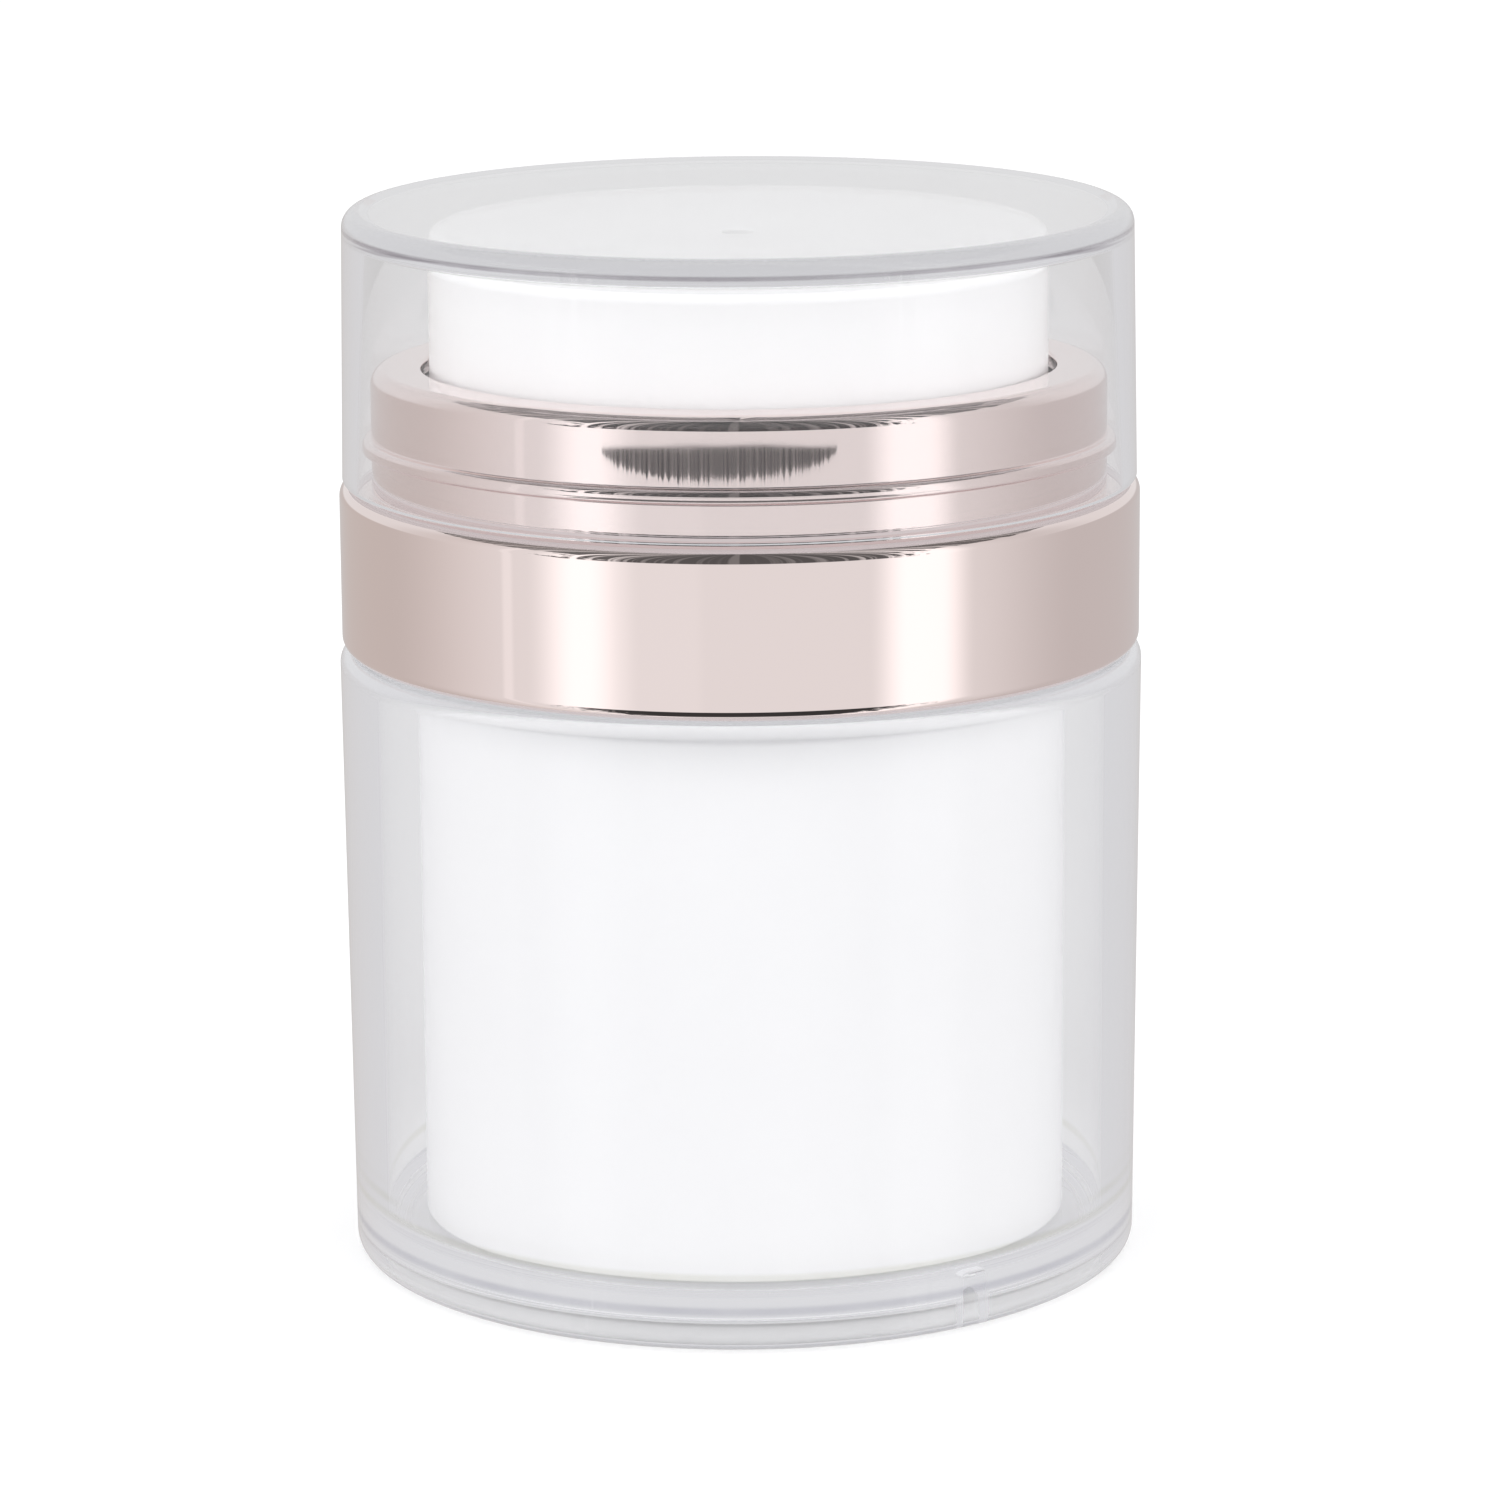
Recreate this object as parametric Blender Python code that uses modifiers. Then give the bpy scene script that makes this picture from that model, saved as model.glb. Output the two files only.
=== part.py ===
"""Airless cream jar with a press pump, modelled piece by piece in metres, +Z up.

The jar stands on its foot ring at height zero and every round piece is turned about +Z.
Radii are worked out from the jar wall inwards to the cup, and from the cup's neck outwards to
the collar and the overcap. Heights are stacked from the foot up to the overcap.
"""

import math

import bmesh
import bpy
from mathutils import Matrix, Vector

MM = 0.001

# Fineness of the round shapes, as counts
AROUND = 48
AROUND_SMALL = 24
ARC_STEPS = 2
SPRING_POINTS_PER_TURN = 10
SPRING_BEVEL_STEPS = 1
SHARP_ANGLE = math.radians(35)

# Clearances
GAP = 0.3 * MM
OVERRUN = 1 * MM
OVERLAP = 0.3 * MM

# Outer jar
JAR_RADIUS = 31.2 * MM
JAR_DRAFT = 0.4 * MM
JAR_WALL = 2.9 * MM
JAR_HEIGHT = 48.1 * MM
JAR_FLOOR = 1.2 * MM
JAR_FLOOR_ROUNDING = 2.0 * MM
FOOT_DEPTH = 2.2 * MM
FOOT_DEPTH_ROUNDING = 0.8 * MM
FOOT_ROUNDING = 1.3 * MM
RIM_ROUNDING = 1.0 * MM
AIR_NOTCH_WIDTH = 2.5 * MM
AIR_NOTCH_REACH = 1.6 * MM
AIR_NOTCH_DEPTH = 1.4 * MM
AIR_NOTCH_HEIGHT = 4.4 * MM
AIR_NOTCH_ANGLE = math.radians(-54.3)

# Inner cup
AIR_SPACE = 3.1 * MM
CUP_WALL = 1.2 * MM
CUP_FLOOR = 1.2 * MM
CUP_CORNER = 0.4 * MM
CUP_FLOOR_GAP = 0.3 * MM
CUP_VENT_RADIUS = 1.5 * MM
CUP_PLUG_HEIGHT = 1.2 * MM
CUP_PLUG_GAP = 0.4 * MM
CUP_FLARE_HEIGHT = 1.4 * MM
FLANGE_THICKNESS = 1.2 * MM
NECK_WALL = 1.6 * MM
NECK_HEIGHT = 8.9 * MM

# Screw thread between the neck and the closure ring
THREAD_DEPTH = 1.0 * MM
THREAD_PITCH = 4.0 * MM
THREAD_ROOT_WIDTH = 1.6 * MM
THREAD_CREST_WIDTH = 0.8 * MM
THREAD_START = 1.6 * MM
NECK_THREAD_TURNS = 1.25
RING_THREAD_TURNS = 1.0

# Follower piston
FOLLOWER_HEIGHT = 14.0 * MM
FOLLOWER_WALL = 1.4 * MM
FOLLOWER_PLATE = 1.4 * MM
FOLLOWER_LIP_WIDTH = 0.7 * MM
FOLLOWER_LIP_HEIGHT = 1.4 * MM
FOLLOWER_DISH = 1.3 * MM

# Closure ring and gasket
CLOSURE_NECK_WALL = 0.9 * MM
CLOSURE_LIP = 1.0 * MM
CLOSURE_LIP_REACH = 1.9 * MM
GASKET_THICKNESS = 0.6 * MM
GASKET_INSET = 0.2 * MM

# Collar shell
SHELL_WALL = 1.2 * MM
BAND_INSET = 0.2 * MM
BAND_HEIGHT = 12.8 * MM
BAND_TOP_ROUNDING = 1.0 * MM
BAND_FOOT_ROUNDING = 0.9 * MM
RING_EDGE_ROUNDING = 1.1 * MM
BEAD_RISE = 3.1 * MM
BEAD_HEIGHT = 1.1 * MM
BEAD_PROUD = 0.7 * MM
BEAD_ROUNDING = 0.45 * MM

# Press head
STROKE = 5.5 * MM
BOTTOM_CLEARANCE = 0.5 * MM
HEAD_SIDE_SPACE = 1.6 * MM
HEAD_CATCH = 1.1 * MM
HEAD_CATCH_HEIGHT = 1.0 * MM
HEAD_CLEARANCE = 0.6 * MM
HEAD_RISE = 8.3 * MM
HEAD_WALL = 1.3 * MM
HEAD_TOP = 1.3 * MM
HEAD_EDGE_ROUNDING = 0.8 * MM
HEAD_DISH_DEPTH = 0.6 * MM
HEAD_DISH_RIM = 3.0 * MM
HEAD_DISH_FLAT = 1.5 * MM
ORIFICE_RADIUS = 1.2 * MM
BOSS_WALL = 1.6 * MM
BOSS_CEILING = 0.8 * MM
SPRING_RIB_WIDTH = 0.8 * MM
SPRING_RIB_HEIGHT = 1.5 * MM

# Pump body and its valve
PUMP_FLANGE = 1.2 * MM
PUMP_FLANGE_REACH = 1.3 * MM
PUMP_PLUG_GAP = 0.4 * MM
PUMP_PLUG_DEPTH = 10.5 * MM
PUMP_PLUG_WALL = 1.2 * MM
PUMP_PLATE = 1.2 * MM
BORE_RADIUS = 5.0 * MM
CYLINDER_WALL = 1.2 * MM
INLET_RADIUS = 1.8 * MM
VALVE_BEARING = 1.6 * MM
VALVE_THICKNESS = 0.8 * MM
VALVE_LIFT = 0.8 * MM
RETAINER_THICKNESS = 0.8 * MM
RETAINER_HOLES = 6
RETAINER_HOLE_RADIUS = 0.8 * MM
RETAINER_HOLE_CIRCLE = 2.8 * MM

# Stem, piston and cylinder cap
STEM_RADIUS = 2.8 * MM
STEM_WALL = 1.1 * MM
STEM_SHOULDER = 0.9 * MM
STEM_SHOULDER_HEIGHT = 0.8 * MM
STEM_PORT_RADIUS = 0.5 * MM
STEM_PORT_RISE = 1.6 * MM
SEAT_THICKNESS = 0.8 * MM
SEAT_BEARING = 0.8 * MM
SEAT_PIN_LENGTH = 3.2 * MM
PISTON_HEIGHT = 3.0 * MM
PISTON_LAG = 0.8 * MM
PISTON_LIP_HEIGHT = 0.8 * MM
PISTON_LIP_WIDTH = 0.5 * MM
SHOULDER_SPACE = 0.9 * MM
CYLINDER_CAP_THICKNESS = 1.0 * MM
CYLINDER_CAP_SKIRT = 3.1 * MM
CYLINDER_CAP_WALL = 0.9 * MM

# Return spring
SPRING_WIRE_RADIUS = 0.45 * MM
SPRING_TURNS = 8
SPRING_CLEARANCE = 0.45 * MM

# Overcap
CAP_WALL = 1.8 * MM
CAP_DRAFT = 0.35 * MM
CAP_TOP = 2.0 * MM
CAP_HEADROOM = 1.3 * MM
CAP_EDGE_ROUNDING = 1.3 * MM
CAP_MOUTH_SPACE = 0.5 * MM
CAP_INNER_ROUNDING = 0.6 * MM

# Radii, from the jar wall inwards and then outwards from the neck
jar_bore = JAR_RADIUS - JAR_WALL
cup_radius = jar_bore - AIR_SPACE
cup_bore = cup_radius - CUP_WALL
neck_radius = cup_bore + NECK_WALL
thread_crest = neck_radius + THREAD_DEPTH
closure_bore = thread_crest + GAP
closure_neck_bore = neck_radius + GAP
closure_neck_radius = closure_neck_bore + CLOSURE_NECK_WALL
ring_bore = closure_neck_radius + GAP
ring_radius = ring_bore + SHELL_WALL
band_radius = JAR_RADIUS - BAND_INSET
band_bore = band_radius - SHELL_WALL
closure_radius = band_bore - GAP
bead_radius = ring_radius + BEAD_PROUD
catch_radius = ring_bore - HEAD_SIDE_SPACE
ring_hole = catch_radius - HEAD_CATCH
head_radius = ring_hole - HEAD_CLEARANCE
head_bore = head_radius - HEAD_WALL
cylinder_radius = BORE_RADIUS + CYLINDER_WALL
cylinder_cap_bore = cylinder_radius + GAP
cylinder_cap_radius = cylinder_cap_bore + CYLINDER_CAP_WALL
spring_radius = cylinder_cap_radius + SPRING_CLEARANCE + SPRING_WIRE_RADIUS
stem_bore = STEM_RADIUS - STEM_WALL
stem_fit = STEM_RADIUS + GAP
cap_bore = ring_radius + GAP
cap_radius = cap_bore + CAP_WALL
cap_mouth = bead_radius + CAP_MOUTH_SPACE

# Heights, stacked from the foot upwards
floor_top = FOOT_DEPTH + JAR_FLOOR
cup_base = floor_top + CUP_FLOOR_GAP
cup_floor_top = cup_base + CUP_FLOOR
follower_base = cup_floor_top + GAP
flange_base = JAR_HEIGHT + GAP
flange_top = flange_base + FLANGE_THICKNESS
neck_top = flange_top + NECK_HEIGHT
gasket_base = neck_top + GAP
pump_flange_base = gasket_base + GASKET_THICKNESS + GAP
pump_flange_top = pump_flange_base + PUMP_FLANGE
lip_base = pump_flange_top + GAP
lip_top = lip_base + CLOSURE_LIP
band_top = flange_base + BAND_HEIGHT
closure_shoulder = band_top - SHELL_WALL - GAP
catch_base = lip_top + BOTTOM_CLEARANCE + STROKE
catch_top = catch_base + HEAD_CATCH_HEIGHT
ring_ceiling = catch_top + GAP
ring_top = ring_ceiling + SHELL_WALL
head_top = ring_top + HEAD_RISE
head_ceiling = head_top - HEAD_TOP
bead_base = band_top + BEAD_RISE
bead_top = bead_base + BEAD_HEIGHT
cap_base = band_top + GAP
cap_ceiling = head_top + CAP_HEADROOM
cap_top = cap_ceiling + CAP_TOP
plate_base = pump_flange_base - PUMP_PLUG_DEPTH
plate_top = plate_base + PUMP_PLATE
valve_base = plate_top + GAP
retainer_base = valve_base + VALVE_THICKNESS + VALVE_LIFT + GAP
seat_base = retainer_base + RETAINER_THICKNESS + GAP + STROKE
seat_top = seat_base + SEAT_THICKNESS
stem_base = seat_top + GAP
shoulder_base = stem_base + PISTON_HEIGHT + PISTON_LAG + GAP
shoulder_top = shoulder_base + STEM_SHOULDER_HEIGHT
cylinder_cap_base = shoulder_top + SHOULDER_SPACE
cylinder_cap_top = cylinder_cap_base + CYLINDER_CAP_THICKNESS
cylinder_top = cylinder_cap_base - GAP
boss_base = cylinder_cap_top + GAP + STROKE
boss_ceiling = head_ceiling - BOSS_CEILING
stem_top = boss_ceiling - GAP


def clear_scene():
    """Removes everything that the start-up file holds."""
    for item in list(bpy.data.objects):
        bpy.data.objects.remove(item, do_unlink=True)


def new_collection(name):
    """A collection linked to the scene."""
    group = bpy.data.collections.new(name)
    bpy.context.scene.collection.children.link(group)
    return group


def plastic(name, colour, roughness, metallic=0.0, alpha=1.0):
    """A Principled material of one colour."""
    material = bpy.data.materials.new(name)
    material.use_nodes = True
    shader = material.node_tree.nodes["Principled BSDF"]
    shader.inputs["Base Color"].default_value = (*colour, 1.0)
    shader.inputs["Roughness"].default_value = roughness
    shader.inputs["Metallic"].default_value = metallic
    shader.inputs["Alpha"].default_value = alpha
    material.diffuse_color = (*colour, alpha)
    return material


def clear_acrylic(name):
    """Colourless see-through plastic of the jar and the overcap."""
    return plastic(name, (0.93, 0.93, 0.95), 0.05, alpha=0.3)


def white_plastic(name):
    """Glossy white polypropylene."""
    return plastic(name, (0.95, 0.95, 0.95), 0.3)


def natural_plastic(name):
    """Unpigmented milky plastic of the pump."""
    return plastic(name, (0.85, 0.86, 0.86), 0.4)


def rose_metal(name):
    """Mirror-bright rose gold plating of the collar shell."""
    return plastic(name, (0.87, 0.75, 0.73), 0.12, metallic=1.0)


def spring_steel(name):
    """Drawn steel wire."""
    return plastic(name, (0.6, 0.6, 0.62), 0.3, metallic=1.0)


def soft_rubber(name):
    """Pale silicone of the valve disc."""
    return plastic(name, (0.82, 0.82, 0.8), 0.6)


def white_foam(name):
    """Pressed foam of the neck gasket."""
    return plastic(name, (0.9, 0.9, 0.88), 0.8)


def soften(corners, closed):
    """Outline points in which each corner (radius, height, rounding) becomes an arc."""
    points = []
    for index, (radius, height, rounding) in enumerate(corners):
        here = Vector((radius, height))
        at_end = not closed and index in (0, len(corners) - 1)
        if rounding == 0 or at_end:
            points.append(here)
            continue
        to_last = (Vector(corners[index - 1][:2]) - here).normalized()
        to_next = (Vector(corners[(index + 1) % len(corners)][:2]) - here).normalized()
        half_corner = to_last.angle(to_next) / 2
        centre = here + (to_last + to_next).normalized() * rounding / math.sin(half_corner)
        reach = rounding / math.tan(half_corner)
        first = here + to_last * reach - centre
        last = here + to_next * reach - centre
        start = math.atan2(first.y, first.x)
        swing = math.atan2(first.cross(last), first.dot(last))
        for step in range(ARC_STEPS + 1):
            angle = start + swing * step / ARC_STEPS
            points.append(centre + Vector((math.cos(angle), math.sin(angle))) * rounding)
    return points


def shade(mesh):
    """Smooth shading that keeps real edges sharp."""
    mesh.shade_smooth()
    mesh.set_sharp_from_angle(angle=SHARP_ANGLE)


def add_object(name, mesh, group, material):
    """An object of this mesh and material in a collection."""
    piece = bpy.data.objects.new(name, mesh)
    if material:
        mesh.materials.clear()
        mesh.materials.append(material)
    group.objects.link(piece)
    return piece


def turned(name, corners, base, group, material, steps=AROUND):
    """A piece turned about +Z. Its corners run down the outer side and back up the inner one.

    An outline that starts and ends on the axis stays open there; any other is closed.
    """
    closed = corners[0][0] > 0
    points = soften(corners, closed)
    outline = bpy.data.meshes.new(name + "_outline")
    edges = [(index, index + 1) for index in range(len(points) - 1)]
    if closed:
        edges.append((len(points) - 1, 0))
    outline.from_pydata([(point.x, 0, point.y - base) for point in points], edges, [])
    guide = add_object(name + "_guide", outline, group, None)
    screw = guide.modifiers.new("turn", "SCREW")
    screw.steps = steps
    screw.render_steps = steps
    screw.use_merge_vertices = True
    screw.merge_threshold = GAP / AROUND
    graph = bpy.context.evaluated_depsgraph_get()
    mesh = bpy.data.meshes.new_from_object(guide.evaluated_get(graph))
    mesh.name = name
    bpy.data.objects.remove(guide)
    bpy.data.meshes.remove(outline)
    shade(mesh)
    piece = add_object(name, mesh, group, material)
    piece.location.z = base
    return piece


def hide_helper(helper):
    """Marks a helper that is not a piece of the jar."""
    helper.hide_render = True
    helper.display_type = "WIRE"


def add_boolean(piece, helper, operation):
    """Joins a helper to a piece or cuts it out of it."""
    hide_helper(helper)
    modifier = piece.modifiers.new(helper.name, "BOOLEAN")
    modifier.operation = operation
    modifier.solver = "EXACT"
    modifier.object = helper


def box_helper(name, size, centre, angle, group):
    """A box of this size, moved to its centre and then swung about +Z."""
    shape = bmesh.new()
    bmesh.ops.create_cube(shape, size=1)
    swing = Matrix.Rotation(angle, 4, "Z")
    place = swing @ Matrix.Translation(centre) @ Matrix.Diagonal((*size, 1))
    bmesh.ops.transform(shape, matrix=place, verts=shape.verts)
    mesh = bpy.data.meshes.new(name)
    shape.to_mesh(mesh)
    shape.free()
    return add_object(name, mesh, group, None)


def rod_helper(name, radius, length, places, group):
    """Round rods of one size, one for each placing matrix."""
    shape = bmesh.new()
    for place in places:
        bmesh.ops.create_cone(
            shape,
            cap_ends=True,
            segments=AROUND_SMALL // 2,
            radius1=radius,
            radius2=radius,
            depth=length,
            matrix=place,
        )
    mesh = bpy.data.meshes.new(name)
    shape.to_mesh(mesh)
    shape.free()
    return add_object(name, mesh, group, None)


def thread_helper(name, root_radius, crest_radius, start_angle, turns, group):
    """A helical ridge with a trapezoid section, closed at both ends."""
    half_root = THREAD_ROOT_WIDTH / 2
    half_crest = THREAD_CREST_WIDTH / 2
    start_height = flange_top + THREAD_START
    section = [
        (root_radius, start_height - half_root),
        (crest_radius, start_height - half_crest),
        (crest_radius, start_height + half_crest),
        (root_radius, start_height + half_root),
    ]
    shape = bmesh.new()
    corners = [shape.verts.new((radius, 0, height)) for radius, height in section]
    end = shape.faces.new(corners)
    steps = round(turns * AROUND)
    bmesh.ops.spin(
        shape,
        geom=[end, *end.edges, *end.verts],
        cent=(0, 0, 0),
        axis=(0, 0, 1),
        dvec=(0, 0, THREAD_PITCH / AROUND),
        angle=turns * math.tau,
        steps=steps,
    )
    open_edges = [edge for edge in shape.edges if edge.is_boundary]
    bmesh.ops.holes_fill(shape, edges=open_edges, sides=len(section))
    bmesh.ops.rotate(shape, verts=shape.verts, matrix=Matrix.Rotation(start_angle, 3, "Z"))
    bmesh.ops.recalc_face_normals(shape, faces=shape.faces)
    mesh = bpy.data.meshes.new(name)
    shape.to_mesh(mesh)
    shape.free()
    return add_object(name, mesh, group, None)


def make_outer_jar(parts, cutters):
    """Clear outer jar: thick drafted wall, raised floor, foot ring and a notch for air."""
    foot_radius = JAR_RADIUS - JAR_DRAFT
    corners = [
        (JAR_RADIUS, JAR_HEIGHT, RIM_ROUNDING),
        (foot_radius, 0, FOOT_ROUNDING),
        (jar_bore, 0, 0),
        (jar_bore, FOOT_DEPTH, FOOT_DEPTH_ROUNDING),
        (0, FOOT_DEPTH, 0),
    ]
    inside = [
        (0, floor_top, 0),
        (jar_bore, floor_top, JAR_FLOOR_ROUNDING),
        (jar_bore, JAR_HEIGHT, 0),
    ]
    outline = inside + corners
    jar = turned("outer_jar", outline, 0, parts, clear_acrylic("clear_acrylic_jar"))
    notch_outside = jar_bore + AIR_NOTCH_DEPTH
    notch_inside = jar_bore - AIR_NOTCH_REACH
    notch_length = notch_outside - notch_inside
    notch_size = (notch_length, AIR_NOTCH_WIDTH, AIR_NOTCH_HEIGHT + OVERRUN)
    notch_centre = ((notch_outside + notch_inside) / 2, 0, (AIR_NOTCH_HEIGHT - OVERRUN) / 2)
    notch = box_helper("air_notch", notch_size, notch_centre, AIR_NOTCH_ANGLE, cutters)
    add_boolean(jar, notch, "DIFFERENCE")
    return jar


def make_inner_cup(parts, cutters):
    """White inner cup that hangs from the jar's rim and carries the threaded neck."""
    plug_radius = jar_bore - CUP_PLUG_GAP
    plug_base = flange_base - CUP_PLUG_HEIGHT
    corners = [
        (neck_radius, neck_top, GAP),
        (neck_radius, flange_top, 0),
        (closure_radius, flange_top, 0),
        (closure_radius, flange_base, 0),
        (plug_radius, flange_base, 0),
        (plug_radius, plug_base, GAP),
        (cup_radius, plug_base - CUP_FLARE_HEIGHT, 0),
        (cup_radius, cup_base, CUP_CORNER),
        (CUP_VENT_RADIUS, cup_base, 0),
        (CUP_VENT_RADIUS, cup_floor_top, 0),
        (cup_bore, cup_floor_top, 0),
        (cup_bore, neck_top, 0),
    ]
    cup = turned("inner_cup", corners, cup_base, parts, white_plastic("white_cup"))
    ridge = thread_helper(
        "neck_thread", neck_radius - OVERLAP, thread_crest, 0, NECK_THREAD_TURNS, cutters
    )
    add_boolean(cup, ridge, "UNION")
    return cup


def make_follower_piston(parts):
    """Dished follower that rises as cream leaves, with a wiping lip at each end."""
    lip_radius = cup_bore - GAP
    side_radius = lip_radius - FOLLOWER_LIP_WIDTH
    inner_radius = side_radius - FOLLOWER_WALL
    top = follower_base + FOLLOWER_HEIGHT
    plate_height = top - FOLLOWER_DISH
    lip_bottom = top - FOLLOWER_LIP_HEIGHT
    lip_top_low = follower_base + FOLLOWER_LIP_HEIGHT
    corners = [
        (0, plate_height, 0),
        (side_radius - FOLLOWER_DISH, plate_height, 0),
        (side_radius, top, 0),
        (lip_radius, top, 0),
        (lip_radius, lip_bottom, 0),
        (side_radius, lip_bottom - FOLLOWER_LIP_WIDTH, 0),
        (side_radius, lip_top_low + FOLLOWER_LIP_WIDTH, 0),
        (lip_radius, lip_top_low, 0),
        (lip_radius, follower_base, 0),
        (inner_radius, follower_base, 0),
        (inner_radius, plate_height - FOLLOWER_PLATE, FOLLOWER_WALL / 2),
        (0, plate_height - FOLLOWER_PLATE, 0),
    ]
    material = natural_plastic("milky_follower")
    return turned("follower_piston", corners, follower_base, parts, material)


def make_neck_gasket(parts):
    """Flat ring that seals the pump's flange on the neck."""
    outer = neck_radius - GASKET_INSET
    inner = cup_bore + GASKET_INSET
    top = gasket_base + GASKET_THICKNESS
    corners = [(outer, top, 0), (outer, gasket_base, 0), (inner, gasket_base, 0), (inner, top, 0)]
    return turned("neck_gasket", corners, gasket_base, parts, white_foam("foam_gasket"))


def make_pump_body(parts):
    """Pump housing: a flange on the neck, a plug into the cup and the cylinder in its middle."""
    flange_radius = cup_bore + PUMP_FLANGE_REACH
    plug_radius = cup_bore - PUMP_PLUG_GAP
    plug_bore = plug_radius - PUMP_PLUG_WALL
    corners = [
        (flange_radius, pump_flange_top, 0),
        (flange_radius, pump_flange_base, 0),
        (plug_radius, pump_flange_base, 0),
        (plug_radius, plate_base, PUMP_PLATE / 2),
        (INLET_RADIUS, plate_base, 0),
        (INLET_RADIUS, plate_top, 0),
        (BORE_RADIUS, plate_top, 0),
        (BORE_RADIUS, cylinder_top, 0),
        (cylinder_radius, cylinder_top, 0),
        (cylinder_radius, plate_top, 0),
        (plug_bore, plate_top, PUMP_PLATE / 2),
        (plug_bore, pump_flange_top, 0),
    ]
    return turned("pump_body", corners, plate_base, parts, natural_plastic("milky_pump"))


def make_inlet_valve(parts):
    """Thin disc that lifts off the inlet hole."""
    radius = INLET_RADIUS + VALVE_BEARING
    top = valve_base + VALVE_THICKNESS
    corners = [(0, top, 0), (radius, top, 0), (radius, valve_base, 0), (0, valve_base, 0)]
    material = soft_rubber("silicone_valve")
    return turned("inlet_valve", corners, valve_base, parts, material, AROUND_SMALL)


def make_valve_retainer(parts, cutters):
    """Pierced disc in the cylinder that limits the valve's lift."""
    radius = BORE_RADIUS - GAP
    top = retainer_base + RETAINER_THICKNESS
    corners = [(0, top, 0), (radius, top, 0), (radius, retainer_base, 0), (0, retainer_base, 0)]
    material = natural_plastic("milky_retainer")
    disc = turned("valve_retainer", corners, retainer_base, parts, material, AROUND_SMALL)
    circle = RETAINER_HOLE_CIRCLE
    height = retainer_base + RETAINER_THICKNESS / 2
    places = []
    for index in range(RETAINER_HOLES):
        angle = math.tau * index / RETAINER_HOLES
        spot = Vector((circle * math.cos(angle), circle * math.sin(angle), height))
        places.append(Matrix.Translation(spot))
    length = RETAINER_THICKNESS + OVERRUN * 2
    holes = rod_helper("retainer_holes", RETAINER_HOLE_RADIUS, length, places, cutters)
    add_boolean(disc, holes, "DIFFERENCE")
    return disc


def make_cylinder_cap(parts):
    """Cap snapped over the cylinder, which guides the stem."""
    skirt_base = cylinder_cap_base - CYLINDER_CAP_SKIRT
    corners = [
        (cylinder_cap_radius, cylinder_cap_top, GAP),
        (cylinder_cap_radius, skirt_base, 0),
        (cylinder_cap_bore, skirt_base, 0),
        (cylinder_cap_bore, cylinder_cap_base, 0),
        (stem_fit, cylinder_cap_base, 0),
        (stem_fit, cylinder_cap_top, 0),
    ]
    material = white_plastic("white_cylinder_cap")
    return turned("cylinder_cap", corners, skirt_base, parts, material, AROUND_SMALL)


def make_piston_seat(parts):
    """Foot plugged into the stem, on which the piston seals."""
    radius = stem_fit + SEAT_BEARING
    pin_radius = stem_bore - GAP
    pin_top = seat_top + SEAT_PIN_LENGTH
    corners = [
        (0, pin_top, 0),
        (pin_radius, pin_top, 0),
        (pin_radius, seat_top, 0),
        (radius, seat_top, 0),
        (radius, seat_base, 0),
        (0, seat_base, 0),
    ]
    material = white_plastic("white_seat")
    return turned("piston_seat", corners, seat_base, parts, material, AROUND_SMALL)


def make_stem_piston(parts):
    """Sliding piston of the pump: a sleeve on the stem with a wiping lip at each end."""
    lip_radius = BORE_RADIUS - GAP
    waist = lip_radius - PISTON_LIP_WIDTH
    top = stem_base + PISTON_HEIGHT
    corners = [
        (lip_radius, top, 0),
        (lip_radius, top - PISTON_LIP_HEIGHT, 0),
        (waist, top - PISTON_LIP_HEIGHT - PISTON_LIP_WIDTH / 2, 0),
        (waist, stem_base + PISTON_LIP_HEIGHT + PISTON_LIP_WIDTH / 2, 0),
        (lip_radius, stem_base + PISTON_LIP_HEIGHT, 0),
        (lip_radius, stem_base, 0),
        (stem_fit, stem_base, 0),
        (stem_fit, top, 0),
    ]
    material = natural_plastic("milky_piston")
    return turned("stem_piston", corners, stem_base, parts, material, AROUND_SMALL)


def make_pump_stem(parts, cutters):
    """Hollow stem from the piston to the press head, with two side ports."""
    shoulder_radius = STEM_RADIUS + STEM_SHOULDER
    corners = [
        (STEM_RADIUS, stem_top, 0),
        (STEM_RADIUS, shoulder_top, 0),
        (shoulder_radius, shoulder_top, 0),
        (shoulder_radius, shoulder_base, 0),
        (STEM_RADIUS, shoulder_base, 0),
        (STEM_RADIUS, stem_base, 0),
        (stem_bore, stem_base, 0),
        (stem_bore, stem_top, 0),
    ]
    material = white_plastic("white_stem")
    stem = turned("pump_stem", corners, stem_base, parts, material, AROUND_SMALL)
    height = Matrix.Translation((0, 0, stem_base + STEM_PORT_RISE))
    across = height @ Matrix.Rotation(math.pi / 2, 4, "Y")
    length = (STEM_RADIUS + OVERRUN) * 2
    ports = rod_helper("stem_ports", STEM_PORT_RADIUS, length, [across], cutters)
    add_boolean(stem, ports, "DIFFERENCE")
    return stem


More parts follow.
